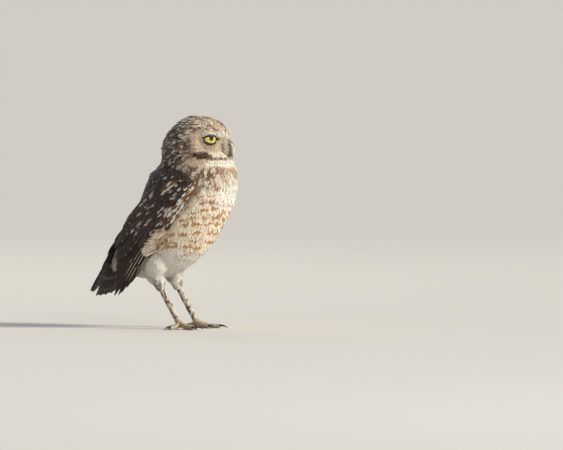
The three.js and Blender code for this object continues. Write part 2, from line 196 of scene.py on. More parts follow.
MATHS = "ShaderNodeMath"
RANGE = "ShaderNodeMapRange"
MIX = "ShaderNodeMix"
MULTIPLIED = {"data_type": "RGBA", "blend_type": "MULTIPLY", 0: 1.0}
RAGGED_GRAIN = 900.0  # to the metre, so about 1.1 mm apart
BARB_WAVES = 75.0  # radians down a vane: 12 barbs, far coarser than real ones, so that they show
BARB_SLANT = -0.35
BARB_HEIGHT = 0.3 * MM


def feather_material(name, barb_depth=0.25, sheen=0.2, marks=1, edge=0.0, root_tone=0.85):
    """Keratin barbs: matt and slightly silky, with a herringbone either side of the shaft and shade
    towards the root. Each vertex keeps the colours of ground and mark, and the form of the mark: its
    half width, its place along the vane, its half length and the strength of the pale fringe.
    Marks is how many marks there are down a vane, and edge is how far from the shaft they lie."""
    made, tree, shader = material(name, 0.72, Sheen_Weight=sheen, Sheen_Roughness=0.5,
                                  Specular_IOR_Level=0.25)
    ground, mark, form = (node(tree, "ShaderNodeAttribute", {"attribute_name": key})
                          for key in ("ground", "mark", "form"))
    parts = node(tree, "ShaderNodeSeparateColor", links={0: (form, "Color")})
    uv = node(tree, "ShaderNodeUVMap", {"uv_map": "Vane"})
    axes = node(tree, "ShaderNodeSeparateXYZ", links={0: (uv, "UV")})
    along = (axes, "Y")
    signed = node(tree, MATHS, {"operation": "MULTIPLY_ADD", 1: 2.0, 2: -1.0}, {0: (axes, "X")})
    across = node(tree, MATHS, {"operation": "ABSOLUTE"}, {0: signed})
    place = node(tree, "ShaderNodeTexCoord")
    ragged = node(tree, "ShaderNodeTexNoise", {"Scale": RAGGED_GRAIN, "Detail": 2.0},
                  {"Vector": (place, "Object")})
    # An ellipse round the middle of the mark, with ragged edges
    step = along
    if marks > 1:
        repeated = node(tree, MATHS, {"operation": "MULTIPLY", 1: marks}, {0: along})
        step = node(tree, MATHS, {"operation": "FRACT"}, {0: repeated})
    aside = node(tree, MATHS, {"operation": "SUBTRACT", 1: edge}, {0: across})
    ahead = node(tree, MATHS, {"operation": "SUBTRACT"}, {0: step, 1: (parts, 1)})
    wide = node(tree, MATHS, {"operation": "DIVIDE"}, {0: aside, 1: parts})
    tall = node(tree, MATHS, {"operation": "DIVIDE"}, {0: ahead, 1: (parts, 2)})
    wide_squared = node(tree, MATHS, {"operation": "MULTIPLY"}, {0: wide, 1: wide})
    round_by = node(tree, MATHS, {"operation": "MULTIPLY_ADD"}, {0: tall, 1: tall, 2: wide_squared})
    uneven = node(tree, MATHS, {"operation": "MULTIPLY_ADD", 1: 0.8, 2: -0.4}, {0: (ragged, "Fac")})
    wavy = node(tree, MATHS, {"operation": "ADD"}, {0: round_by, 1: uneven})
    inside = node(tree, RANGE, {1: 1.25, 2: 0.75, 3: 0.0, 4: 1.0}, {0: wavy})
    colour = node(tree, MIX, {"data_type": "RGBA"}, {0: inside, 6: (ground, "Color"), 7: (mark, "Color")})
    # The fringe runs round the rim
    tip = node(tree, MATHS, {"operation": "MULTIPLY"}, {0: along, 1: along})
    outer = node(tree, MATHS, {"operation": "MAXIMUM"}, {0: across, 1: tip})
    rim = node(tree, RANGE, {1: 0.62, 2: 0.95, 3: 0.0, 4: 1.0}, {0: outer})
    fringe = node(tree, MATHS, {"operation": "MULTIPLY"}, {0: rim, 1: (form, "Alpha")})
    fringed = node(tree, MIX, {"data_type": "RGBA"}, {0: fringe, 6: (colour, 2), 7: (mark, "Color")})
    # Barbs darken and lighten the vane a little and give it relief
    slanted = node(tree, MATHS, {"operation": "MULTIPLY_ADD", 1: BARB_SLANT}, {0: across, 2: along})
    phase = node(tree, MATHS, {"operation": "MULTIPLY", 1: BARB_WAVES}, {0: slanted})
    wave = node(tree, MATHS, {"operation": "SINE"}, {0: phase})
    tone = node(tree, RANGE, {1: -1.0, 2: 1.0, 3: 0.9, 4: 1.06}, {0: wave})
    shade = node(tree, RANGE, {1: 0.2, 2: 0.95, 3: root_tone, 4: 1.0}, {0: along})
    shaded = node(tree, MATHS, {"operation": "MULTIPLY"}, {0: tone, 1: shade})
    toned = node(tree, MIX, MULTIPLIED, {6: (fringed, 2), 7: shaded})
    bump = node(tree, "ShaderNodeBump", {"Strength": barb_depth, "Distance": BARB_HEIGHT}, {"Height": wave})
    finish_shader(tree, shader, toned, bump)
    return made


SKIN_GRAIN = {"detail": 3.0, "spread": 0.2, "tones": (0.8, 1.12), "height": 0.4 * MM}
HORN_GRAIN = {"detail": 4.0, "spread": 0.15, "tones": (0.82, 1.1), "height": 0.2 * MM}


def grained_material(name, roughness, grain, grains, depth, **values):
    """Bare skin, or horn under a waxy coat: the colour kept on each vertex is broken up and roughened by
    a fine grain, with so many grains to the metre."""
    made, tree, shader = material(name, roughness, **values)
    ground = node(tree, "ShaderNodeAttribute", {"attribute_name": "ground"})
    place = node(tree, "ShaderNodeTexCoord")
    noise = node(tree, "ShaderNodeTexNoise", {"Scale": grains, "Detail": grain["detail"]},
                 {"Vector": (place, "Object")})
    low, high = grain["tones"]
    tone = node(tree, RANGE, {1: 0.5 - grain["spread"], 2: 0.5 + grain["spread"], 3: low, 4: high},
                {0: (noise, "Fac")})
    toned = node(tree, MIX, MULTIPLIED, {6: (ground, "Color"), 7: tone})
    bump = node(tree, "ShaderNodeBump", {"Strength": depth, "Distance": grain["height"]},
                {"Height": (noise, "Fac")})
    finish_shader(tree, shader, toned, bump)
    return made


# Mesh helpers

def new_piece(name, mesh, finish, nodes=()):
    """Adds a finished mesh to the owl under its name, in place of the solids that it replaces."""
    piece = bpy.data.objects.new(name, mesh)
    bpy.context.scene.collection.objects.link(piece)
    mesh.materials.clear()
    mesh.materials.append(finish)
    mesh.polygons.foreach_set("use_smooth", np.ones(len(mesh.polygons), dtype=bool))
    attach(piece, "root")
    if nodes:
        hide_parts(*nodes)
    return piece


def mesh_from(builder, name):
    mesh = bpy.data.meshes.new(name)
    builder.to_mesh(mesh)
    builder.free()
    return mesh


def outward_mesh(builder, name):
    """A mesh of closed parts whose faces all point outwards."""
    bmesh.ops.recalc_face_normals(builder, faces=builder.faces)
    return mesh_from(builder, name)


def ball(builder, centre, radius, columns, rows, turn=Matrix()):
    """Adds a sphere whose radius is in millimetres, turned about its centre."""
    made = bmesh.ops.create_uvsphere(builder, u_segments=columns, v_segments=rows, radius=radius * MM)
    bmesh.ops.transform(builder, matrix=turn, verts=made["verts"])
    bmesh.ops.translate(builder, vec=centre, verts=made["verts"])


def set_colour(mesh, name, values):
    """Keeps a linear colour for each vertex, or one for all, under a name that the material reads."""
    values = np.asarray(values, dtype=np.float32)
    full = np.ones((len(mesh.vertices), 4), dtype=np.float32)
    full[:, :values.shape[-1]] = values
    attribute = mesh.color_attributes.new(name, "FLOAT_COLOR", "POINT")
    attribute.data.foreach_set("color", full.ravel())


def set_uv(mesh, name, values):
    layer = mesh.uv_layers.new(name=name)
    layer.data.foreach_set("uv", values.astype(np.float32).ravel())


def vertex_values(mesh, key):
    """One vector for each vertex, such as its place or its normal."""
    out = np.empty(len(mesh.vertices) * 3)
    mesh.vertices.foreach_get(key, out)
    return out.reshape(-1, 3)


def move_to(mesh, points):
    mesh.vertices.foreach_set("co", points.astype(np.float32).ravel())
    mesh.update()


def unit(vectors):
    return vectors / np.maximum(np.linalg.norm(vectors, axis=-1, keepdims=True), 1e-9)


def bridge_round(builder, rings, closed=False):
    """Joins each ring of corners to the next by quads."""
    pairs = list(zip(rings, rings[1:]))
    if closed:
        pairs.append((rings[-1], rings[0]))
    for pair in pairs:
        edges = [e for ring in pair for v in ring for e in v.link_edges if e.other_vert(v) in ring]
        bmesh.ops.bridge_loops(builder, edges=list(dict.fromkeys(edges)))


def tube(builder, centres, radii, sides):
    """A closed round length through the centres, ring by ring. A radius is one value, or one to the
    left and another forward."""
    centres = [Vector(c) for c in centres]
    left = Vector((0, 1, 0))
    rings = []
    for i, (centre, radius) in enumerate(zip(centres, radii)):
        along = (centres[min(i + 1, len(centres) - 1)] - centres[max(i - 1, 0)]).normalized()
        side = (left - along * along.dot(left)).normalized()
        turn = Matrix((side, along.cross(side), along)).transposed().to_4x4()
        turn.translation = centre
        wide, high = radius if isinstance(radius, tuple) else (radius, radius)
        verts = bmesh.ops.create_circle(builder, segments=sides, radius=1)["verts"]
        bmesh.ops.scale(builder, vec=(wide, high, 1), verts=verts)
        bmesh.ops.transform(builder, matrix=turn, verts=verts)
        rings.append(verts)
    bridge_round(builder, rings)
    for ring in (rings[0], rings[-1]):
        edges = list({e for v in ring for e in v.link_edges if e.other_vert(v) in ring})
        bmesh.ops.holes_fill(builder, edges=edges, sides=0)


def smooth_path(points, count):
    """Points evenly along a smooth curve through the given ones."""
    points = [np.array(p, dtype=float) for p in points]
    padded = [2 * points[0] - points[1]] + points + [2 * points[-1] - points[-2]]
    out = []
    spans = len(points) - 1
    for k in range(count):
        t = k / (count - 1) * spans
        i = min(int(t), spans - 1)
        u = t - i
        a, b, c, d = padded[i:i + 4]
        bent = (2 * a - 5 * b + 4 * c - d) * u ** 2 + (3 * b - a - 3 * c + d) * u ** 3
        out.append(0.5 * (2 * b + (c - a) * u + bent))
    return out


def taper(thick, thin, count, power):
    """Radii in metres that shrink from thick to thin, both in millimetres."""
    return [(thick + (thin - thick) * (k / (count - 1)) ** power) * MM for k in range(count)]


# Head places, worked out as the solids are, in millimetres from the middle of the head

HEAD_CENTRE = Vector((15.3 + FEET_AHEAD, 0, 207)) * MM
HEAD_TURN = math.radians(8)
EYE = {"radius": 9.0, "forward": 16.4, "aside": 17.2, "up": 5.8, "wide": 16.4, "low": 5.0, "high": 3.0}
BILL = {"ridge": 41.4, "top": 3.5, "tip": -16.5, "half_wide": 5.9}


def head_way(forward, left, up):
    """A direction in the head's own axes."""
    return Matrix.Rotation(HEAD_TURN, 3, "Z") @ Vector((forward, left, up))


def from_head(forward, left, up):
    """A place in the head's own axes, in millimetres, as one in metres from the origin."""
    return head_way(forward, left, up) * MM + HEAD_CENTRE


def head_axes(points):
    """Points in the head's own axes, in millimetres: forward, left and up from its middle."""
    turn = np.array(Matrix.Rotation(-HEAD_TURN, 3, "Z"))
    return (points - np.array(HEAD_CENTRE)) @ turn.T / MM


def head_bearing(points):
    """Degrees from the bill, 0 to 180 on either side of the head, and the height in millimetres."""
    forward, left, up = head_axes(points).T
    return np.degrees(np.abs(np.arctan2(left, forward))), up


def eye_centre(side):
    return from_head(EYE["forward"], side * EYE["aside"], EYE["up"])


def eye_aim(side):
    bearing = side * sizes().eye_turn + HEAD_TURN
    return Vector((math.cos(bearing), math.sin(bearing), 0))


def from_eye(points, side):
    """How far points lie ahead of an eye's middle along its aim, and their places off that line."""
    aim = np.array(eye_aim(side))
    away = points - np.array(eye_centre(side))
    ahead = away @ aim
    return ahead, away - ahead[:, None] * aim


# Markings: the plumage's own colour at each place. Heights are in millimetres and bearings in degrees.

CELLS = 4096
CELL_PRIMES = (73856093, 19349663, 83492791)

BODY_HEIGHTS = np.array([60, 72, 96, 132, 168, 195, 240])
BODY_FORWARD = np.array([-72, -63, -37, -11, 8, 13, 14]) + FEET_AHEAD

# Each band starts, is full, is full no longer and ends
WHITE_BREAST = (128, 142, 168, 178)
COLLAR = (158, 168, 180, 184)
COLLAR_STREAKS = (150, 160, 182, 186)
WHITE_BROW = (6.5, 9, 12.5, 16)
MOUSTACHE = (-16, -14.5, -10.5, -8.5)
WHITE_THROAT = (-26, -23, -19.5, -18.5)
FACE_RIM = (-18, -10, 4, 14)
CHEEK_MARK = (6, 16, 80, 86)


def smooth_step(low, high, value):
    t = np.clip((value - low) / (high - low), 0, 1)
    return t * t * (3 - 2 * t)


def between(value, start, full, until, end):
    """Rises from 0 at start to 1 at full, and falls from until to 0 at end."""
    return smooth_step(start, full, value) * smooth_step(end, until, value)


def blend(first, second, share):
    share = np.asarray(share)[:, None]
    return first * (1 - share) + second * share


def round_body(points):
    """Angle round the body's middle line from the breast, 0 to pi on either side."""
    middle = np.interp(points[:, 2], BODY_HEIGHTS * MM, BODY_FORWARD * MM)
    return np.arctan2(points[:, 1], points[:, 0] - middle)


def cell_noise(points, size, seed):
    """How far each point is from the nearest of many scattered cells, in cells, and the steady random
    value of that one."""
    table = np.random.default_rng(seed).random((CELLS, 4))
    cell = np.floor(points / size).astype(np.int64)
    best = np.full(len(points), np.inf)
    value = np.zeros(len(points))
    for step in NEIGHBOURS:
        near = cell + np.array(step)
        x, y, z = (near * np.array(CELL_PRIMES)).T
        key = (x ^ y ^ z) % CELLS
        middle = (near + 0.5 + (table[key, :3] - 0.5) * 0.7) * size
        far = np.linalg.norm(points - middle, axis=1) / size
        closer = far < best
        best[closer] = far[closer]
        value[closer] = table[key[closer], 3]
    return best, value


def eye_corners(points):
    """How far each place belongs to the black corners of an eye: a long one towards the bill and a
    short one behind."""
    black = np.zeros(len(points))
    for side in SIDES.values():
        away = (points - np.array(eye_centre(side))) / MM
        aim = np.array(eye_aim(side))
        forward = away @ np.cross(aim, [0, 0, 1]) * side
        up = away[:, 2]
        front = np.hypot((forward - 8.4) / 3.4, (up - 0.3 + 0.22 * (forward - 8)) / 2.1)
        back = np.hypot((forward + 8.2) / 2.0, (up - 0.6) / 1.5)
        shown = smooth_step(-2, 0, away @ aim)
        black = np.maximum(black, smooth_step(1.15, 0.85, np.minimum(front, back)) * shown)
    return black


def body_ground(points):
    """Cream below and in front, with a white middle, a streaked brown collar and a white vent, and
    umber above and behind."""
    cream, white, umber, tawny, brown = paints("cream", "white", "umber", "tawny", "brown")
    z = points[:, 2] / MM
    round_by = np.abs(round_body(points))
    _, value = cell_noise(points * np.array([1, 1, 0.55]), 3.6 * MM, 17)
    mottled = 0.15 + 0.85 * value
    middle = smooth_step(0.6, 0.2, round_by) * between(z, *WHITE_BREAST)
    colour = blend(cream, white, middle * 0.9)
    collar = between(z, *COLLAR) * mottled
    sides = smooth_step(0.6, 1.1, round_by) * smooth_step(136, 158, z) * mottled
    colour = blend(colour, tawny * 0.55 + brown * 0.25, np.maximum(collar, sides) * 0.8)
    streak = smooth_step(0.45, 0.75, value) * between(z, *COLLAR_STREAKS)
    colour = blend(colour, brown, streak * smooth_step(0.25, 0.6, round_by) * 0.65)
    colour = blend(colour, white * 0.9, smooth_step(98, 82, z))
    colour = blend(colour, brown, smooth_step(62, 46, z) * (value > 0.55) * 0.7)
    behind = smooth_step(1.45, 1.85, round_by) * smooth_step(66, 84, z)
    return blend(colour, umber, behind)


def ground_colours(points):
    """The colour of body and head: a buff crown, brown nape and tan face with white brow, moustache
    and throat, and the dark marks of the face. The nape's brown is partly its own and partly painted
    shade."""
    white, buff, tawny, brown = paints("white", "buff", "tawny", "brown")
    on_head = smooth_step(181, 187, points[:, 2] / MM)
    bearing, up = head_bearing(points)
    # Browner towards the back of the head: partly the nape's own colour, partly painted shade.
    crown = blend(buff, brown, smooth_step(86, 122, bearing) * 0.88)
    colour = blend(body_ground(points), crown, on_head)
    face = on_head * smooth_step(90, 82, bearing) * smooth_step(18, 10, up)
    colour = blend(colour, buff * 0.76 + tawny * 0.08 + white * 0.12, face)
    brow = on_head * between(up, *WHITE_BROW) * smooth_step(72, 52, bearing)
    colour = blend(colour, white, brow * 0.85)
    moustache = on_head * between(up, *MOUSTACHE) * smooth_step(60, 46, bearing)
    colour = blend(colour, white, moustache * 0.6)
    colour = blend(colour, white, between(up, *WHITE_THROAT) * smooth_step(66, 50, bearing))
    # The mark under the cheek is broad behind and a thin line from there to the chin
    share = smooth_step(38, 58, bearing)
    mark_height = -16.8 + 4.2 * share
    half_high = (1.2 + 3.4 * share) * (1 - 0.45 * smooth_step(66, 84, bearing))
    mark = on_head * smooth_step(1.15, 0.75, np.abs(up - mark_height) / half_high)
    mark *= between(bearing, *CHEEK_MARK)
    colour = blend(colour, brown * 0.85, mark * (0.75 + 0.25 * share))
    rim = on_head * smooth_step(4.5, 2, np.abs(bearing - 89)) * between(up, *FACE_RIM)
    colour = blend(colour, brown, rim * 0.55)
    return blend(colour, np.array(BLACK_SKIN), eye_corners(points))


SPOT_TABLE = (128, 64)
SPOT_ROW = 8.2
SPOT_STEP = 9.6
BREAST_RADIUS = 46


def spots_at(points):
    """How strongly each place of the breast and belly is spotted, 0 to 1: short bars in broken rows."""
    rows, columns = SPOT_TABLE
    table = np.random.default_rng(5).random((rows, columns, 4))
    z = points[:, 2] / MM
    angle = round_body(points)
    run = angle * BREAST_RADIUS
    wave = 0.12 * np.sin(run / 9)
    density = 0.5 + 0.4 * smooth_step(82, 112, z)
    strength = np.zeros(len(points))
    for step in (-1, 0, 1):
        row = np.floor(z / SPOT_ROW + wave).astype(int) + step
        column = np.floor(run / SPOT_STEP + 0.5 * (row % 2)).astype(int)
        shift, rise, size, chance = table[row % rows, column % columns].T
        across = run - (column + 0.5 - 0.5 * (row % 2) + (shift - 0.5) * 0.4) * SPOT_STEP
        above = z - (row + 0.5 + (rise - 0.5) * 0.5 - wave) * SPOT_ROW
        half_long = 2.6 + 1.8 * size
        half_high = 1.5 + 1.0 * size
        away = (across / half_long) ** 2 + ((above + 0.05 * across ** 2) / half_high) ** 2
        strength = np.maximum(strength, smooth_step(1.35, 0.75, away) * (chance < density))
    round_by = np.abs(angle)
    bright = smooth_step(0.5, 0.2, round_by) * smooth_step(134, 150, z)
    lowest = 80 - 14 * smooth_step(0.7, 1.2, round_by)
    placed = between(z, lowest, lowest + 9, 160, 170) * smooth_step(1.9, 1.6, round_by)
    return strength * (1 - 0.85 * bright) * placed * 0.92


# Feathers: closed vanes, repeated many times in one mesh

# Half widths of a vane from root to tip
SOFT = [0.35, 0.8, 1.0, 0.95, 0.5]
STREAK = [0.4, 0.9, 0.85, 0.5, 0.1]
FLIGHT = [0.3, 0.7, 0.95, 1.0, 1.0, 0.96, 0.85, 0.5]
BLUNT = [0.3, 0.7, 0.9, 0.95, 1.0, 1.0, 1.0, 0.98, 0.92, 0.6]

NEAR_RIM = 0.02
UNDERSIDE = 0.15  # depth of the under sheet for a top sheet 1 high
RIM_ANGLE = math.radians(60)  # the two sheets meet in a sharp rim
PATCH = 0.003  # side of each vane's own place on the unwrap
UV_MARGIN = 0.01
HEADROOM = 10 * MM


def unwrap(points):
    """Places on an unwrap of the bird's own shape: the angle round its middle line, and the height."""
    span = 1 - 2 * UV_MARGIN
    height = points[:, 2] / (FRAME_BOX[1][2] + HEADROOM)
    return np.stack([0.5 + round_body(points) / math.tau * span, UV_MARGIN + span * height], axis=1)


def vane_template(columns, rows, half_widths, point):
    """A closed flat blade: a top sheet whose middle is raised and an under sheet, joined at the rim.
    It starts as a grid and is widened row by row."""
    builder = bmesh.new()
    bmesh.ops.create_grid(builder, x_segments=columns, y_segments=rows, size=1)
    places = np.linspace(0, 1, len(half_widths))
    for vert in builder.verts:
        along = (vert.co.y + 1) / 2
        across = vert.co.x
        half = np.interp(along, places, half_widths)
        drawn = along - point * abs(across) ** 1.5 * along ** 3
        inner = NEAR_RIM < along < 1 - NEAR_RIM and abs(across) < 1 - NEAR_RIM
        vert.co = Vector((across * half, drawn, 1 - across ** 2 if inner else 0))
    copied = bmesh.ops.duplicate(builder, geom=list(builder.faces))
    under = [g for g in copied["geom"] if isinstance(g, bmesh.types.BMFace)]
    for vert in {v for f in under for v in f.verts}:
        vert.co.z = 0 if vert.co.z < 1e-6 else -UNDERSIDE * vert.co.z
    bmesh.ops.reverse_faces(builder, faces=under)
    bmesh.ops.remove_doubles(builder, verts=builder.verts, dist=1e-5)
    builder.verts.index_update()
    places = np.array([v.co for v in builder.verts], dtype=float)
    faces = [[v.index for v in f.verts] for f in builder.faces]
    builder.free()
    return places.T, faces


class Vanes:
    """Many vanes joined in one mesh, each a template bent, scaled and set down at its root."""

    def __init__(self, columns, rows, half_widths, thick, point):
        (self.across, self.along, self.top), self.faces = vane_template(columns, rows, half_widths, point)
        self.thick = thick * MM
        self.parts = []

    def add(self, root, forward, normal, length, width, ground, mark, form,
            lift=0.0, curl=0.0, cup=0.0, bend=0.0):
        """Sets down vanes that rise from the skin by lift, curl back to it, cup across and bend aside."""
        root, forward, normal = (np.atleast_2d(v) for v in (root, forward, normal))
        length, width, lift, curl, cup, bend = (
            np.broadcast_to(np.asarray(v, dtype=float), (len(root),))[:, None]
            for v in (length, width, lift, curl, cup, bend))
        forward = unit(forward - normal * np.sum(forward * normal, axis=1, keepdims=True))
        side = np.cross(forward, normal)
        y = self.along
        half = self.across * width / 2
        ahead = y * length
        sideways = half + bend * y * ahead
        thick = self.thick * self.top * (1 - 0.6 * y)
        upward = lift * ahead - curl * y * ahead - cup * half ** 2 / np.maximum(width, 1e-6) + thick
        axes = ((side, sideways), (forward, ahead), (normal, upward))
        place = root[:, None, :] + sum(way[:, None, :] * far[..., None] for way, far in axes)
        self.keep(place, root, ground, mark, form)

    def keep(self, place, root, *looks):
        """Ground, mark and form are given once for all the vanes or once for each."""
        looks = [np.broadcast_to(look, (len(root), np.shape(look)[-1])) for look in looks]
        self.parts.append((place, root, *looks))

    def mirrored(self):
        """Which vertex takes which place when the vanes are mirrored, so that faces still point outwards."""
        order = {(round(x, 4), round(y, 4), round(z, 4)): i
                 for i, (x, y, z) in enumerate(zip(self.across, self.along, self.top))}
        return [order[(round(-x, 4), round(y, 4), round(z, 4))]
                for x, y, z in zip(self.across, self.along, self.top)]

    def piece(self, name, finish, record_slot, nodes=()):
        place, roots, *looks = (np.concatenate(values) for values in zip(*self.parts))
        count, each = place.shape[:2]
        mesh = bpy.data.meshes.new(name)
        corners = np.concatenate(self.faces)
        loops = (corners + each * np.arange(count)[:, None]).ravel()
        totals = np.tile([len(face) for face in self.faces], count)
        starts = np.concatenate([[0], np.cumsum(totals)[:-1]])
        mesh.vertices.add(count * each)
        mesh.vertices.foreach_set("co", place.astype(np.float32).ravel())
        mesh.loops.add(len(loops))
        mesh.loops.foreach_set("vertex_index", loops.astype(np.int32))
        mesh.polygons.add(len(totals))
        mesh.polygons.foreach_set("loop_start", starts.astype(np.int32))
        mesh.update(calc_edges=True)
        mesh.validate()
        mesh.set_sharp_from_angle(angle=RIM_ANGLE)
        for key, values in zip(("ground", "mark", "form"), looks):
            set_colour(mesh, key, np.repeat(values, each, axis=0))
        local = np.stack([self.across / 2 + 0.5, self.along], axis=1)[corners]
        set_uv(mesh, "Vane", np.tile(local, (count, 1)))
        spots = unwrap(roots)[:, None, :] + (local - 0.5) * PATCH
        set_uv(mesh, "OFBake", np.clip(spots, 0, 1))
        return new_piece(name, mesh, finish, nodes)


# Skin

FLESH = ("torso", "neck", "head", "thigh_right", "thigh_left")
SKIN_VOXEL = 1.3 * MM
SKIN_SMOOTHING = 12
BALL_COVER = 1.0  # mm of skin over each eyeball, before the eyes are opened
EYE_HOLE = 7.4
EYE_FLOOR = 1.0  # mm that the skin in the hole lies ahead of the ball's middle


def keep_largest_part(builder):
    """Deletes every loose part of a mesh but the one with the most corners."""
    left = set(builder.verts)
    parts = []
    while left:
        part, found = set(), {next(iter(left))}
        while found:
            part |= found
            found = {e.other_vert(v) for v in found for e in v.link_edges} - part
        left -= part
        parts.append(part)
    parts.sort(key=len)
    for part in parts[:-1]:
        bmesh.ops.delete(builder, geom=list(part), context="VERTS")


def skin_mesh():
    """One closed surface over all the flesh: the solids joined, smoothed and drawn in by the coat."""
    builder = bmesh.new()
    for name in FLESH:
        builder.from_mesh(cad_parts[name].data)
    for side in SIDES.values():
        ball(builder, eye_centre(side), EYE["radius"] + BALL_COVER, 24, 16)
    bmesh.ops.remove_doubles(builder, verts=builder.verts, dist=1e-6)
    work = bpy.data.objects.new("skin_work", mesh_from(builder, "skin"))
    bpy.context.scene.collection.objects.link(work)
    grown = work.modifiers.new("close", "REMESH")
    grown.mode = "VOXEL"
    grown.voxel_size = SKIN_VOXEL
    work.modifiers.new("soft", "SMOOTH").iterations = SKIN_SMOOTHING
    depsgraph = bpy.context.evaluated_depsgraph_get()
    done = bpy.data.meshes.new_from_object(work.evaluated_get(depsgraph))
    bpy.data.objects.remove(work)
    builder = bmesh.new()
    builder.from_mesh(done)
    keep_largest_part(builder)
    builder.normal_update()
    coat, head_coat = sizes().coat_depth, sizes().head_coat_depth
    for vert in builder.verts:
        on_head = min(max((vert.co.z / MM - 185) / 12, 0), 1)
        on_leg = min(max((72 - vert.co.z / MM) / 20, 0), 1)
        vert.co -= vert.normal * ((coat + (head_coat - coat) * on_head) * (1 - 0.55 * on_leg))
    bmesh.ops.smooth_vert(builder, verts=builder.verts, factor=0.5,
                          use_axis_x=True, use_axis_y=True, use_axis_z=True)
    return mesh_from(builder, "skin")


def open_eyes(points):
    """Draws the skin in front of each eyeball back behind its lids."""
    for side in SIDES.values():
        ahead, aside = from_eye(points, side)
        inside = (np.linalg.norm(aside, axis=1) < EYE_HOLE * MM) & (ahead > 0)
        points[inside] -= np.array(eye_aim(side)) * (ahead[inside, None] - EYE_FLOOR * MM)
    return points


class OWL_OT_skin(bpy.types.Operator):
    """Builds the one skin that the feathers grow from"""
    bl_idname = "owl.skin"
    bl_label = "Skin"

    def execute(self, context):
        mesh = skin_mesh()
        points = open_eyes(vertex_values(mesh, "co"))
        move_to(mesh, points)
        set_colour(mesh, "ground", ground_colours(points))
        corners = np.empty(len(mesh.loops), dtype=np.int32)
        mesh.loops.foreach_get("vertex_index", corners)
        set_uv(mesh, "OFBake", unwrap(points)[corners])
        down = grained_material("down_over_skin", 0.9, SKIN_GRAIN, grains=700.0, depth=0.3)
        new_piece("skin", mesh, down, FLESH)
        return {"FINISHED"}


# Roots of the small feathers, and how they lie

TRIES = 4.5  # places drawn for each feather that fits
DOWN_BODY = np.array([-0.5, 0, -0.86])
DOWN_LEG = np.array([0.25, 0, -0.95])
BACK_OVER_HEAD = np.array([-0.2, 0, -0.25])
# Where a wing covers the skin: along it, back across it and outwards
UNDER_WING = ((20, 90), (-2, 28), (-20, 20))


def scatter(mesh, spacing, keep, rng):
    """Points over a mesh about spacing apart, with normals: drawn by area, then thinned cell by cell."""
    mesh.calc_loop_triangles()
    corners = np.empty(len(mesh.loop_triangles) * 3, dtype=np.int32)
    mesh.loop_triangles.foreach_get("vertices", corners)
    corners = corners.reshape(-1, 3)
    points, normals = vertex_values(mesh, "co"), vertex_values(mesh, "normal")
    a, b, c = (points[corners[:, i]] for i in range(3))
    area = np.linalg.norm(np.cross(b - a, c - a), axis=1) / 2
    middle = (a + b + c) / 3
    gap = spacing(middle)
    weight = np.where(keep(middle), area / gap ** 2, 0)
    count = int(weight.sum() * TRIES)
    pick = rng.choice(len(corners), count, p=weight / weight.sum())
    u, v = rng.random(count), rng.random(count)
    over = u + v > 1
    u[over], v[over] = 1 - u[over], 1 - v[over]
    shares = np.stack([1 - u - v, u, v], axis=1)[..., None]
    place = (points[corners[pick]] * shares).sum(axis=1)
    facing = unit((normals[corners[pick]] * shares).sum(axis=1))
    near = gap[pick]
    keys = [tuple(key) for key in np.floor(place / near.max()).astype(int).tolist()]
    spots = place.tolist()
    kept, cells = [], {}
    for i, (x, y, z) in enumerate(keys):
        around = (j for dx, dy, dz in NEIGHBOURS for j in cells.get((x + dx, y + dy, z + dz), ()))
        if all(math.dist(spots[i], spots[j]) >= near[i] for j in around):
            kept.append(i)
            cells.setdefault((x, y, z), []).append(i)
    return place[kept], facing[kept]


def lie(points, normals):
    """Which way the feathers lie: down the body, back over the crown, and outwards round each eye."""
    z = points[:, 2] / MM
    legs = smooth_step(76, 60, z)
    down = unit(blend(DOWN_BODY, DOWN_LEG, legs))
    from_bill = unit(points - np.array(from_head(34, 0, -3)))
    flow = blend(down, unit(from_bill + BACK_OVER_HEAD), smooth_step(186, 198, z))
    left = head_axes(points)[:, 1]
    for side in SIDES.values():
        _, aside = from_eye(points, side)
        reach = np.linalg.norm(aside, axis=1) / MM
        flow = blend(flow, unit(aside), smooth_step(22, 12, reach) * (left * side > -2))
    return unit(flow - normals * np.sum(flow * normals, axis=1, keepdims=True))


def clear_of_eyes(points, reach):
    free = np.ones(len(points), dtype=bool)
    for side in SIDES.values():
        ahead, aside = from_eye(points, side)
        free &= ~((np.linalg.norm(aside, axis=1) < reach) & (ahead > 0))
    return free


def under_wing(points):
    """True where a folded wing hides the skin."""
    hidden = np.zeros(len(points), dtype=bool)
    for name in SIDES:
        grid = wing_inverse(name, points)
        hidden |= np.all([(low < g) & (g < high) for (low, high), g in zip(UNDER_WING, grid)], axis=0)
    return hidden


BODY_ROOTS = (45.5, 190.5)  # heights between which the body's feathers grow
BACK_FROM = 1.7  # angle round the body past which feathers are the back's
BELLY_TOP = 128
THIGH_TOP = 76


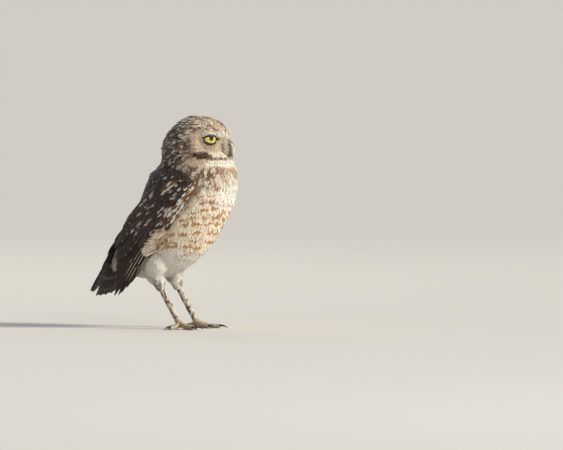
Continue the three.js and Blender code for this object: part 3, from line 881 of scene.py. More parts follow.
class OWL_OT_body_feathers(bpy.types.Operator):
    """Lays the small feathers of breast, belly, back and thighs over the skin"""
    bl_idname = "owl.body_feathers"
    bl_label = "Body feathers"

    def execute(self, context):
        mesh = bpy.data.objects["skin"].data
        rng = draws("body")

        def spacing(points):
            z = points[:, 2] / MM
            return (1.3 - 0.4 * smooth_step(90, 64, z) - 0.2 * smooth_step(168, 186, z)) * MM

        def keep(points):
            z = points[:, 2] / MM
            return (z > BODY_ROOTS[0]) & (z < BODY_ROOTS[1]) & ~under_wing(points)

        place, facing = scatter(mesh, spacing, keep, draws("body"))
        count = len(place)
        z = place[:, 2] / MM
        flow = unit(lie(place, facing) + rng.normal(0, 0.16, (count, 3)))
        size = sizes().breast_feather * vary(rng, count, 0.8, 1.15)
        size *= 1 - 0.55 * smooth_step(92, 62, z) - 0.35 * smooth_step(165, 188, z)
        behind = np.abs(round_body(place)) > BACK_FROM
        shown = place + flow * (0.55 * size.mean())
        ground = ground_colours(shown) * vary(rng, count, 0.88, 1.06)[:, None]
        tawny = paint("tawny") * vary(rng, count, 0.85, 1.25)[:, None]
        ground = blend(ground, tawny, smooth_step(0.3, 0.6, spots_at(shown)) * vary(rng, count, 0.8, 1.0))
        mark = ground * 0.7 + paint("white") * 0.3
        mark[behind] = paint("spot") * 0.8
        form = np.tile([NO_MARK, 0.8, 0.14, 0.35], (count, 1))
        form[behind & (rng.random(count) < 0.14), 0] = 0.6
        form[behind, 3] = 0.04
        ground, mark = np.clip(ground, 0, 1), np.clip(mark, 0, 1)
        above = z > THIGH_TOP
        groups = {
            "breast_feathers": ~behind & (z > BELLY_TOP),
            "belly_feathers": ~behind & above & (z <= BELLY_TOP),
            "back_feathers": behind & above,
            "thigh_feathers": ~above,
        }
        finish = feather_material("soft_body_feathers", 0.2, root_tone=0.5)
        for name, group in groups.items():
            total = group.sum()
            vanes = Vanes(2, 3, SOFT, 0.14, 0.3)
            vanes.add(place[group], flow[group], facing[group], size[group],
                      size[group] * vary(rng, total, 0.56, 0.68), ground[group], mark[group], form[group],
                      lift=vary(rng, total, 0.11, 0.16), curl=0.03, cup=0.16,
                      bend=rng.normal(0, 0.05, total))
            slot = "leg_feathers" if name == "thigh_feathers" else "body_feathers"
            vanes.piece(name, finish, slot)
        return {"FINISHED"}


HEAD_ROOTS = 184  # height above which the head's feathers grow
LID_REACH = 7.2
# The ellipsoid round the bill's base in which none grow, in the head's own axes
BILL_ROOM = {"middle": (38, 0, -5), "half": (8, 4.6, 9)}
FACE_EDGE = 92  # bearing past which feathers are the crown's and nape's
LID_FEATHERS = 900
BRISTLES = 240


class OWL_OT_head_feathers(bpy.types.Operator):
    """Lays the fine feathers of the crown, face, chin and nape over the skin, and bristles by the bill"""
    bl_idname = "owl.head_feathers"
    bl_label = "Head feathers"

    def execute(self, context):
        mesh = bpy.data.objects["skin"].data
        rng = draws("head")
        eyes = [np.array(eye_centre(side)) for side in SIDES.values()]

        def eye_reach(points):
            return np.min([np.linalg.norm(points - eye, axis=1) for eye in eyes], axis=0) / MM

        def spacing(points):
            return (0.95 + 0.65 * smooth_step(12, 26, eye_reach(points))) * MM

        def keep(points):
            return (points[:, 2] / MM > HEAD_ROOTS) & clear_of_eyes(points, LID_REACH * MM)

        place, facing = scatter(mesh, spacing, keep, draws("head_roots"))
        off_bill = (head_axes(place) - np.array(BILL_ROOM["middle"])) / np.array(BILL_ROOM["half"])
        clear = np.linalg.norm(off_bill, axis=1) > 1
        place, facing = place[clear], facing[clear]
        count = len(place)
        flow = unit(lie(place, facing) + rng.normal(0, 0.12, (count, 3)))
        bearing, up = head_bearing(place)
        small, large = sizes().face_feather, sizes().crown_feather
        size = small + (large - small) * smooth_step(12, 28, eye_reach(place))
        size *= vary(rng, count, 0.8, 1.2) * (1 + 0.5 * smooth_step(95, 140, bearing))
        ground = ground_colours(place + flow * (size * 0.6)[:, None])
        # Outside the face, groups of feathers in lines are paler or darker than the ground
        outside = np.maximum(smooth_step(80, 92, bearing), smooth_step(11, 15, up))
        far, value = cell_noise(place * np.array([0.6, 1.1, 0.8]), 2.1 * MM, 9)
        pale = ((value < 0.5) & (far < 0.6)) * (0.3 + 0.7 * outside)
        pale = pale * (1 - smooth_step(-8, -11, up) * (bearing < 88))
        dark = ((value > 0.66) & (far < 0.55)) * outside
        # The pale streaks fade and dim towards the nape: painted shade.
        cool = smooth_step(105, 140, bearing)
        ground = blend(ground, paint("white") * (1 - 0.35 * cool[:, None]), pale * (0.75 - 0.25 * cool))
        ground = blend(ground, paint("brown"), dark * 0.8)
        ground = np.clip(ground * vary(rng, count, 0.8, 1.14)[:, None], 0, 1)
        form = np.tile([0.2, 0.45, 0.45, 0.0], (count, 1))
        form[rng.random(count) >= 0.3 * outside, 0] = NO_MARK
        finish = feather_material("fine_head_feathers", 0.15, root_tone=0.55)
        lift = vary(rng, count, 0.22, 0.34) + 0.16 * smooth_step(100, 140, bearing)
        groups = {"face_feathers": bearing < FACE_EDGE, "crown_feathers": bearing >= FACE_EDGE}
        for name, group in groups.items():
            vanes = Vanes(2, 3, STREAK, 0.25, 0.1)
            vanes.add(place[group], flow[group], facing[group], size[group], size[group] * 0.44,
                      ground[group], paint("brown"), form[group], lift=lift[group], curl=0.18, cup=0.4)
            vanes.piece(name, finish, "head_feathers")
        vanes = Vanes(2, 3, STREAK, 0.2, 0.0)
        for side in SIDES.values():
            self.lid_feathers(vanes, side, rng)
            self.bristles(vanes, side, rng)
        vanes.piece("lid_feathers", finish, "head_feathers")
        return {"FINISHED"}

    def lid_feathers(self, vanes, side, rng):
        """Tiny feathers over the lids, from the black rim outwards."""
        count = LID_FEATHERS
        turn = rng.random(count) * math.tau
        share = vary(rng, count, 0.14, 1.0)
        place, facing, flow = lid_places(side, turn, share)
        ground = ground_colours(place) * vary(rng, count, 0.85, 1.15)[:, None]
        flow = flow + rng.normal(0, 0.15, (count, 3))
        vanes.add(place, flow, facing, vary(rng, count, 1.7, 2.9) * MM, 0.8 * MM,
                  np.clip(ground, 0, 1), ground, PLAIN, lift=0.16, curl=0.1)

    def bristles(self, vanes, side, rng):
        """Fine bristles from before the eye, lying forward and down over the base of the bill."""
        count = BRISTLES
        turn = vary(rng, count, -0.9, 1.6)
        spread = vary(rng, count, 0.85, 1.6)
        forward = 34.0 - 5.0 * (spread - 0.85)
        left = side * 5.2 * spread * np.cos(turn)
        up = -3.5 + 7.5 * spread * np.sin(turn)
        root = np.array([from_head(*place) for place in zip(forward, left, up)])
        facing = unit(np.array([head_way(0.45, side * 0.8 * math.cos(t), 0.75 * math.sin(t)) for t in turn]))
        pale = rng.random(count)[:, None]
        ground = paint("white") * pale + (paint("buff") * 0.7 + paint("tawny") * 0.1) * (1 - pale)
        flow = np.array(head_way(1.0, side * 0.12, -0.55)) + rng.normal(0, 0.14, (count, 3))
        vanes.add(root, flow, facing, vary(rng, count, 4.2, 6.8) * MM, 0.75 * MM,
                  ground, ground, PLAIN, lift=0.12, curl=0.12)


# Wings, on a curved sheet: a runs from the wrist to the tip, b from the leading edge back and h
# outwards, all in millimetres

WING = {
    "right": {"wrist": (26, 167), "tip": (-81, 31), "tip_out": 22, "middle": 5},
    "left": {"wrist": (24, 169), "tip": (-95, 48), "tip_out": 24, "middle": -2},
}
WING_CURVE = 50.0
OUT_ALONG = [-0.1, 0, 0.15, 0.3, 0.5, 0.7, 0.85, 1]
OUT = [34, 37, 42.5, 45, 45, 39.5, 31]

# For each tier: how many, the first and the last one's root, tip and width, the rise of root and tip
# over the sheet, and how pale the edges are
FLIGHT_TIERS = {
    "primaries": (
        (4, ([62, -8], [143, -7], 8), ([62, -2], [168, 0], 9), (-2, -2.6), 0.9),
        (6, ([66, 1], [171, 4], 10), ([72, 18], [136, 21], 13), (-1.6, -0.6), 0.6),
    ),
    "secondaries": (
        (9, ([70, 12], [133, 20], 13), ([70, 33], [117, 35], 13), (-0.6, 1.2), 0),
        (4, ([60, 31], [124, 32], 14), ([54, 37], [100, 38], 14), (0.4, 2.8), 0),
    ),
}
FLIGHT_TILT = 2.0
COVERT_TIERS = 21
COVERT_TILT = 1.5
FLANK_FEATHERS = 620


def wing_frame(name):
    """The middle of a wing's curve, its wrist, the ways along it and back across it, and how far out
    it lies."""
    wing = WING[name]
    wrist, tip = np.array(wing["wrist"], dtype=float), np.array(wing["tip"], dtype=float)
    length = np.linalg.norm(tip - wrist)
    along = (tip - wrist) / length
    backward = np.array([along[1], -along[0]])

    def outward(a):
        return np.interp(a / length, OUT_ALONG, OUT + [wing["tip_out"]])

    return wing["middle"], wrist, along, backward, outward


def wing_place(name, a, b, h):
    """Points on the folded wing's sheet, in metres."""
    middle, wrist, along, backward, outward = wing_frame(name)
    angle = (b - middle) / WING_CURVE
    reach = WING_CURVE + h
    flat = wrist + np.outer(a, along) + np.outer(middle + reach * np.sin(angle), backward)
    y = SIDES[name] * (outward(a) - WING_CURVE + reach * np.cos(angle))
    return np.stack([flat[:, 0] + FEET_AHEAD, y, flat[:, 1]], axis=1) * MM


def wing_inverse(name, points):
    """Roughly where points lie on the wing's sheet, in millimetres."""
    middle, wrist, along, backward, outward = wing_frame(name)
    flat = points[:, [0, 2]] / MM - np.array([FEET_AHEAD, 0]) - wrist
    a = flat @ along
    across = flat @ backward - middle
    y = points[:, 1] / MM * SIDES[name] - (outward(a) - WING_CURVE)
    return a, np.arctan2(across, y) * WING_CURVE + middle, np.hypot(across, y) - WING_CURVE


def wing_vanes(vanes, name, count, first, last, rise, tilt, colours, rng, jitter=1.2):
    """One tier of wing feathers laid on the wing's sheet, from first to last in even steps."""
    t = np.linspace(0, 1, count)[:, None]
    root, tip, wide = ((1 - t) * np.atleast_1d(one) + t * np.atleast_1d(other)
                       for one, other in zip(first, last))
    tip = tip + rng.normal(0, jitter, tip.shape) * np.array([1.0, 0.4])
    x, y = vanes.across, vanes.along
    span = tip - root
    ahead = unit(span)
    half = wide / 2 * x
    a = root[:, :1] + span[:, :1] * y - ahead[:, 1:] * half
    b = root[:, 1:] + span[:, 1:] * y + ahead[:, :1] * half
    thick = vanes.thick / MM * vanes.top * (1 - 0.5 * y)
    camber = -0.02 * half ** 2
    lifted = rng.normal(0, 0.15, (count, 1)) * y
    h = rise[0] + (rise[1] - rise[0]) * y - tilt * x * 0.5 + thick + camber + lifted
    place = wing_place(name, a.ravel(), b.ravel(), h.ravel()).reshape(count, -1, 3)
    if SIDES[name] > 0:
        place = place[:, vanes.mirrored()]
    middle = root + span * 0.6
    middle = wing_place(name, middle[:, 0], middle[:, 1], np.zeros(count))
    vanes.keep(place, middle, *colours(tip[:, 0], tip[:, 1]))


def covert_colours(rng, a, b):
    """Colours of a wing's coverts by the place of their tips: dark, unevenly spotted, and rusty with
    white flecks along the leading edge and in one patch over the shoulder."""
    umber, spot, brown, tawny, white = paints("umber", "spot", "brown", "tawny", "white")
    count = len(a)
    ground = blend(umber, brown, rng.random(count) * 0.5)
    ground *= vary(rng, count, 0.75, 1.25)[:, None]
    edge = smooth_step(0.5, -3.0, b + rng.normal(0, 1.2, count)) * smooth_step(66, 50, a)
    patch = smooth_step(1.3, 0.7, np.hypot((a - 27) / 9, (b - 17) / 4.5))
    rusty = np.maximum(edge, patch)
    ground = blend(ground, tawny * 0.42 + brown * 0.4, rusty * 0.8)
    mark = blend(spot * vary(rng, count, 0.6, 1.1)[:, None], white * 0.85, rusty)
    marked = rng.random(count) < 0.22 + 0.4 * rusty
    form = np.stack([vary(rng, count, 0.4, 0.7), vary(rng, count, 0.68, 0.8),
                     vary(rng, count, 0.12, 0.22) + 0.12 * rusty, vary(rng, count, 0.06, 0.22)], axis=1)
    form[~marked, 0] = NO_MARK
    return np.clip(ground, 0, 1), mark, form


def flight_colours(rng, pale, a, b):
    """Colours of flight feathers: dark, with a pale line down both edges or else with paler notches."""
    count = len(a)
    ground = paint("umber") * vary(rng, count, 0.7, 1.15)[:, None]
    if pale:
        mark = paint("cream") * pale * vary(rng, count, 0.6, 1.0)[:, None]
        return ground, mark, (0.16, 0.5, 0.9, 0.0)
    return ground, paint("spot") * 0.3, (0.24, 0.5, 0.16, 0.15)


class OWL_OT_wings(bpy.types.Operator):
    """Builds the primaries, secondaries and coverts of both folded wings"""
    bl_idname = "owl.wings"
    bl_label = "Wings"

    def execute(self, context):
        flight_finishes = {
            "primaries": feather_material("pale_edged_primaries", 0.3, 0.1, edge=1.0),
            "secondaries": feather_material("stiff_flight_feathers", 0.3, 0.1, marks=6, edge=0.85),
        }
        covert_finish = feather_material("firm_wing_coverts", 0.25, 0.1)
        flank_finish = feather_material("soft_flank_feathers", 0.2, root_tone=0.5)
        for name in SIDES:
            rng = draws("wings")
            for kind, finish in flight_finishes.items():
                vanes = Vanes(4, 10, FLIGHT, 0.5, 0.12)
                for count, first, last, rise, pale in FLIGHT_TIERS[kind]:
                    wing_vanes(vanes, name, count, first, last, rise, FLIGHT_TILT,
                               partial(flight_colours, rng, pale), rng)
                replaced = (f"wing_{name}",) if kind == "primaries" else ()
                vanes.piece(f"{kind}_{name}", finish, "wing_feathers", replaced)
            self.coverts(name, covert_finish, rng)
            self.flank(name, flank_finish, rng)
        return {"FINISHED"}

    def coverts(self, name, finish, rng):
        """Tiers of coverts from the flight feathers' roots to the wrist, where they shrink and sink in."""
        vanes = Vanes(2, 6, SOFT, 0.4, 0.2)
        for tier in range(COVERT_TIERS):
            t = tier / (COVERT_TIERS - 1)
            start = 64 - 71 * t
            reach = 33 - 22 * t
            sunk = 5.0 * smooth_step(0.84, 1.0, t)
            low, high = -10 + 3 * t, 39 - 14 * t
            first = ([start + 6, low], [start + 6 + reach, low - 2], 8.5 - 2.5 * t)
            last = ([start - 3, high], [start - 3 + reach * 0.9, high + 3], 9.5 - 3 * t)
            rise = (-0.1 - sunk, 2.0 + 1.0 * t - 0.4 * sunk)
            wing_vanes(vanes, name, int(14 + 2 * t), first, last, rise, COVERT_TILT,
                       partial(covert_colours, rng), rng, 1.6)
        vanes.piece(f"wing_coverts_{name}", finish, "wing_feathers")

    def flank(self, name, finish, rng):
        """Loose feathers of the breast's side, lying back over the leading edge of the wing."""
        count = FLANK_FEATHERS
        a = -16 + 105 * rng.random(count) ** 0.75
        low = smooth_step(44, 64, a)
        b = vary(rng, count, -15, -11.5) + low * 4.5 * rng.random(count)
        across = 0.06 + 0.44 * low + rng.normal(0, 0.16, count)
        h = vary(rng, count, -1.6, -1.1) + 3.0 * low + 0.45 * np.minimum(a, 0)
        place = wing_place(name, a, b, h)
        flow = unit(wing_place(name, a + 1, b + across, h) - place)
        facing = unit(wing_place(name, a, b, h + 1) - place)
        size = (vary(rng, count, 5.5, 8.5) + 6.5 * low) * MM
        shown = place + flow * (size * 0.6)[:, None]
        ground = blend(ground_colours(shown), paint("cream"), 0.4 * low)
        ground = blend(ground, paint("tawny") * 0.8, low * (rng.random(count) < 0.3) * 0.6)
        line = between(a, 8, 14, 28, 36) * (rng.random(count) < 0.4)
        ground = blend(ground, paint("white"), line * 0.8)
        ground = blend(ground, paint("tawny"), spots_at(shown) * 0.8 * (1 - line))
        ground = np.clip(ground * vary(rng, count, 0.78, 1.08)[:, None], 0, 1)
        lift = vary(rng, count, 0.1, 0.2) + 0.12 * low
        vanes = Vanes(2, 3, STREAK, 0.25, 0.1)
        vanes.add(place, flow, facing, size, size * (0.36 - 0.12 * low),
                  ground, paint("white"), (NO_MARK, 0.8, 0.14, 0.3),
                  lift=lift, curl=0.14, cup=0.4, bend=rng.normal(0, 0.1, count))
        vanes.piece(f"flank_feathers_{name}", finish, "body_feathers")


# Tail, in millimetres along it, to the left and above it

TAIL = {"root": (-81, 101), "tip": (-114, 37.5), "wide": 15.5}

# For each group: how many, where the first and last tips lie to the left, and how much longer they are
TAIL_GROUPS = ((4, -26, -18, 0.0), (8, -3, 26, 5.0))


class OWL_OT_tail(bpy.types.Operator):
    """Builds the tail feathers and the coverts over and under their roots"""
    bl_idname = "owl.tail"
    bl_label = "Tail"

    def execute(self, context):
        rng = draws("tail")
        root, tip = np.array(TAIL["root"], dtype=float), np.array(TAIL["tip"], dtype=float)
        length = np.linalg.norm(tip - root)
        along = (tip - root) / length
        above = np.array([along[1], -along[0]])
        forward = np.array([along[0], 0, along[1]])
        normal = np.array([above[0], 0, above[1]])

        def place(a, b, h):
            flat = root + along * a + above * h
            return np.array([flat[0] + FEET_AHEAD, b, flat[1]]) * MM

        finish = feather_material("stiff_tail_feathers", 0.3, 0.1, marks=5, edge=0.8)
        vanes = Vanes(4, 10, BLUNT, 0.6, 0.06)
        for count, first, last, longer in TAIL_GROUPS:
            for i in range(count):
                across = first + (last - first) * i / (count - 1)
                away = abs(across)
                start = place(2, 0.3 * across, 1.4 - 0.012 * away * i)
                reach = length + longer - (0.005 + 0.001 * longer) * away ** 2 - 1.2 * (i % 2)
                span = place(reach, across, 1.4 - 0.05 * away) - start
                lean = unit(normal + np.array([0, math.copysign(0.14, across), 0]))
                ground = paint("umber") * vary(rng, None, 0.6, 0.95)
                vanes.add(start, unit(span), lean, np.linalg.norm(span), TAIL["wide"] * MM,
                          ground, paint("spot") * 0.32, (0.22, 0.5, 0.12, 0.15), cup=0.25)
        vanes.piece("tail_feathers", finish, "tail_feathers", ("tail",))
        self.coverts_above(place, forward, normal, rng)
        self.coverts_below(place, forward, normal, rng)
        return {"FINISHED"}

    def coverts_above(self, place, forward, normal, rng):
        """Dark spotted coverts, the first rows of which sink into the back."""
        vanes = Vanes(2, 6, SOFT, 0.4, 0.2)
        for row, i in product(range(5), range(9)):
            across = -18 + 4.25 * i + 2.1 * (row % 2)
            way = forward + np.array([0, 0.012 * across, 0])
            sunk = 4.2 * (1 - smooth_step(0, 2, row)) + 0.004 * across ** 2
            start = place(-18 + 9 * row + rng.normal(0, 1.2), across * 0.85, 2.4 - 0.4 * row - sunk)
            spotted = rng.random() < 0.3
            ground = paint("umber") * vary(rng, None, 0.8, 1.2)
            half_wide = vary(rng, None, 0.4, 0.6) if spotted else NO_MARK
            vanes.add(start, way, normal, 23 * MM, 9 * MM, ground, paint("spot") * 0.4,
                      (half_wide, 0.75, 0.13, 0.1), lift=0.03 + 0.025 * sunk, cup=0.3)
        vanes.piece("upper_tail_coverts", feather_material("firm_tail_coverts"), "tail_feathers")

    def coverts_below(self, place, forward, normal, rng):
        """Long soft coverts, white by the vent and greyer further down, partly of their own colour and
        partly as painted shade under the tail, which also gives them a faint blue.
        """
        vanes = Vanes(2, 6, SOFT, 0.35, 0.25)
        # Greyer with a faint blue away from the vent: partly the coverts' own colour, partly painted shade
        # under the tail. The blue is painted shade.
        grey_and_shade = paint("white") * 0.4 + paint("umber") * 0.35 + np.array([0.0, 0.01, 0.02])
        for row, i in product(range(7), range(10)):
            across = -11 + 2.6 * i + rng.normal(0, 0.6)
            way = forward + np.array([0, 0.008 * across, 0]) + rng.normal(0, 0.05, 3)
            start = place(-8 + 5.0 * row - 0.045 * (across - 3) ** 2, across, -3.5 - 0.3 * row)
            pale = 1 - smooth_step(0, 6, row)
            tone = (grey_and_shade * (1 - pale) + paint("white") * 0.8 * pale) * vary(rng, None, 0.8, 1.2)
            vanes.add(start, way, -normal, vary(rng, None, 17, 21) * MM, 9.5 * MM, tone,
                      np.clip(tone * 1.4, 0, 1), (NO_MARK, 0.8, 0.1, 0.4), lift=0.1, curl=0.12, cup=0.35)
        vanes.piece("undertail_coverts", feather_material("soft_undertail_coverts"), "tail_feathers")


# Eyes and lids

GAZE_TO_BILL = 0.08
GAZE_UP = 0.07
PUPIL_EDGE = 0.19  # as shares of a right angle from the gaze
IRIS_EDGE = 0.66

LID_STEPS = 72
LID_RIM = 1.6
LID_FORWARD = 0.6  # how far the opening lies towards the bill of the ball's own middle
LID_SKIRT = math.radians(80)
RIM_STEPS = 7
OUTER_SHARES = (1.0, 0.75, 0.5, 0.25, 0.12)
INNER_SHARES = (0.25, 0.6, 1.0)


def eye_material():
    """A wet eye: a lemon iris with fine spokes, a round black pupil and a dark rim, under a clear gloss."""
    made, tree, shader = material("wet_eye", 0.12, Coat_Weight=1.0, Coat_Roughness=0.02,
                                  Specular_IOR_Level=0.6)
    gaze = node(tree, "ShaderNodeAttribute", {"attribute_name": "gaze"})
    place = node(tree, "ShaderNodeTexCoord")
    spokes = node(tree, "ShaderNodeTexNoise", {"Scale": 600.0, "Detail": 3.0}, {"Vector": (place, "Object")})
    ramp = node(tree, "ShaderNodeValToRGB", links={0: (gaze, "Fac")})
    iris = paint("iris")
    black = (0.004, 0.004, 0.004, 1)
    stops = [(0.0, black), (PUPIL_EDGE, black), (PUPIL_EDGE + 0.015, (*iris * 0.6, 1)), (0.27, (*iris, 1)),
             (IRIS_EDGE - 0.06, (*iris * 0.95, 1)), (IRIS_EDGE, (0.25, 0.2, 0.02, 1)), (0.7, black)]
    elements = ramp.color_ramp.elements
    for element, (position, colour) in zip(elements, (stops[0], stops[-1])):
        element.position = position
        element.color = colour
    for position, colour in stops[1:-1]:
        elements.new(position).color = colour
    tone = node(tree, RANGE, {1: 0.3, 2: 0.7, 3: 0.85, 4: 1.08}, {0: (spokes, "Fac")})
    toned = node(tree, MIX, MULTIPLIED, {6: (ramp, "Color"), 7: tone})
    tree.links.new(toned.outputs[2], shader.inputs["Base Color"])
    return made


def lid_edge(turn):
    """Where the opening lies at each turn round it: rounded below and nearly straight above."""
    above = np.sin(turn) > 0
    high = np.where(above, EYE["high"], EYE["low"])
    power = np.where(above, 0.7, 0.95)
    return EYE["wide"] / 2 * np.cos(turn), high * np.sign(np.sin(turn)) * np.abs(np.sin(turn)) ** power


def lid_places(side, turn, share, stand=0.9):
    """Points over the lids, with the ways out and on: share runs from the opening to the edge of the
    lids, and stand is the height over the ball."""
    aim = np.array(eye_aim(side))
    up = np.array([0.0, 0.0, 1.0])
    x, y = lid_edge(turn)
    x = x - side * LID_FORWARD
    reach = np.hypot(x, y)
    first = np.arcsin(np.clip(reach / EYE["radius"], 0, 0.97))
    angle = first + (LID_SKIRT - first) * share
    flat = np.cross(up, aim) * (x / reach)[:, None] + up * (y / reach)[:, None]
    facing = flat * np.sin(angle)[:, None] + aim * np.cos(angle)[:, None]
    flow = flat * np.cos(angle)[:, None] - aim * np.sin(angle)[:, None]
    brow = 1.7 * np.clip(y / reach, 0, 1) * between(share, 0, 0.35, 0.6, 1.0)
    radius = (EYE["radius"] + stand + brow) * MM
    return np.array(eye_centre(side)) + facing * radius[:, None], facing, flow


def lids_mesh(side, name):
    """Both lids of one eye as one closed ring: a black rim of skin on the ball, and behind it a skirt."""
    turn = np.linspace(0, math.tau, LID_STEPS, endpoint=False)
    front = np.clip(-side * np.cos(turn - side * 0.25), 0, 1) ** 8
    back = np.clip(side * np.cos(turn), 0, 1) ** 8
    bead = LID_RIM * (1 + 1.9 * front + 0.9 * back + 0.3 * np.clip(np.sin(turn), 0, 1))
    rows = [lid_places(side, turn, np.full(LID_STEPS, share), 0.7)[0] for share in OUTER_SHARES]
    edge, out, flow = lid_places(side, turn, np.zeros(LID_STEPS), 0.25)
    flow = unit(flow + 0.45 * out * (front + back)[:, None])
    for around in math.pi * (0.1 + 1.3 * np.linspace(0, 1, RIM_STEPS)):
        sideways = bead * (0.4 + math.cos(around)) * MM
        rows.append(edge + flow * sideways[:, None] + out * (0.6 * LID_RIM * math.sin(around) * MM))
    rows += [lid_places(side, turn, np.full(LID_STEPS, share), 0.15)[0] for share in INNER_SHARES]
    builder = bmesh.new()
    rings = []
    for places in np.stack(rows, axis=1):
        verts = bmesh.ops.create_circle(builder, segments=len(rows), radius=1)["verts"]
        for vert, place in zip(verts, places):
            vert.co = Vector(place)
        rings.append(verts)
    bridge_round(builder, rings, closed=True)
    mesh = outward_mesh(builder, f"eye_{name}_lids")
    row = np.tile(np.arange(len(rows)), LID_STEPS)
    first_black = len(OUTER_SHARES) - 1
    colour = ground_colours(vertex_values(mesh, "co")) * 0.8
    colour[(row >= first_black) & (row <= first_black + RIM_STEPS + 1)] = BLACK_SKIN
    set_colour(mesh, "ground", colour)
    return mesh


class OWL_OT_eyes(bpy.types.Operator):
    """Builds each eye, with its iris, pupil and gloss, and the dark lids round it"""
    bl_idname = "owl.eyes"
    bl_label = "Eyes"

    def execute(self, context):
        ball_finish = eye_material()
        lid_finish = grained_material("dark_lid_skin", 0.45, SKIN_GRAIN, grains=900.0, depth=0.2)
        for name, side in SIDES.items():
            aim = eye_aim(side)
            builder = bmesh.new()
            turn = Vector((0, 0, 1)).rotation_difference(aim).to_matrix().to_4x4()
            ball(builder, eye_centre(side), EYE["radius"], 64, 40, turn)
            mesh = mesh_from(builder, f"eye_{name}_ball")
            away = unit(vertex_values(mesh, "co") - np.array(eye_centre(side)))
            to_bill = np.array(head_way(1, 0, 0))
            gaze = unit(np.array(aim) + GAZE_TO_BILL * to_bill + np.array([0, 0, GAZE_UP]))
            angle = np.arccos(np.clip(away @ gaze, -1, 1)) / (math.pi / 2)
            set_colour(mesh, "gaze", np.stack([angle] * 3, axis=1))
            new_piece(f"eye_{name}_ball", mesh, ball_finish, (f"eye_{name}",))
            new_piece(f"eye_{name}_lids", lids_mesh(side, name), lid_finish)
        return {"FINISHED"}


# Bill

UPPER_RINGS = 26
LOWER_RINGS = 14
NOSTRIL_PLACE = (BILL["ridge"] - 4.2, 4.6, BILL["top"] - 4.6)
NOSTRIL_RADIUS = 0.8


class OWL_OT_bill(bpy.types.Operator):
    """Builds the hooked bill in its two halves, with the nostrils"""
    bl_idname = "owl.bill"
    bl_label = "Bill"

    def execute(self, context):
        finish = grained_material("bill_horn", 0.35, HORN_GRAIN, grains=500.0, depth=0.15,
                                  Coat_Weight=0.3, Coat_Roughness=0.2)
        self.upper(finish)
        self.lower(finish)
        return {"FINISHED"}

    def upper(self, finish):
        ridge, top = BILL["ridge"], BILL["top"]
        profile = ((ridge - 16, top - 3), (ridge - 8, top - 3.4), (ridge - 3.9, -4.6), (ridge - 2.6, -11),
                   (ridge - 2.2, BILL["tip"]))
        path = smooth_path([from_head(x, 0, z) for x, z in profile], UPPER_RINGS)
        builder = bmesh.new()
        tube(builder, path, [(r * 0.92, r) for r in taper(BILL["half_wide"], 0.35, UPPER_RINGS, 1.7)], 24)
        forward, aside, up = NOSTRIL_PLACE
        for side in SIDES.values():
            ball(builder, from_head(forward, side * aside, up), NOSTRIL_RADIUS, 12, 8)
        mesh = outward_mesh(builder, "bill_top")
        points = head_axes(vertex_values(mesh, "co"))
        share = smooth_step(ridge - 2.4, ridge + 0.4, points[:, 0]) * smooth_step(1, -6, points[:, 2])
        colour = blend(paint("horn"), paint("ridge"), share)
        points[:, 1] = np.abs(points[:, 1])
        off_nostril = points - np.array(NOSTRIL_PLACE)
        # The nostril balls are painted black: painted shade in place of the openings.
        colour[np.linalg.norm(off_nostril, axis=1) < NOSTRIL_RADIUS + 0.1] = NOSTRIL
        set_colour(mesh, "ground", colour)
        new_piece("bill_top", mesh, finish, ("bill_upper",))

    def lower(self, finish):
        ridge = BILL["ridge"]
        profile = ((ridge - 17, -9.5), (ridge - 10, -10.6), (ridge - 5.6, -13), (ridge - 4.6, -14.4))
        path = smooth_path([from_head(x, 0, z) for x, z in profile], LOWER_RINGS)
        builder = bmesh.new()
        tube(builder, path, taper(4.1, 0.7, LOWER_RINGS, 1.5), 20)
        mesh = outward_mesh(builder, "bill_bottom")
        set_colour(mesh, "ground", paint("horn") * 0.7)
        new_piece("bill_bottom", mesh, finish, ("bill_lower",))


# Legs, toes and claws

LEG = {"foot": 0.7, "ankle": (-24.3, 46), "stance": 19.5, "ankle_radius": 4.6, "shank_radius": 3.7}
LEG_COAT = 0.5
SHANK_RINGS = 30
TOE_RADIUS = 2.7
TOES = {"inner": (-24, 20), "middle": (4, 26.5), "outer": (74, 18), "hind": (186, 14)}
TOE_RINGS = 26
TOE_PAD_WAVES = 19  # radians down a toe, for three swellings
FOOT_TURN = {"right": 24, "left": 5}
CLAW = {"reach": 10.5, "radius": 1.75, "rise": 2.6}
CLAW_ROOT = TOE_RADIUS + 0.1
CLAW_RINGS = 16
LEG_BRISTLES = 1500


def leg_place(x, y, z):
    return np.array([x + FEET_AHEAD, y, z]) * MM


def toe_way(name, bearing):
    angle = math.radians(SIDES[name] * (bearing + FOOT_TURN[name]))
    return np.array([math.cos(angle), math.sin(angle), 0])


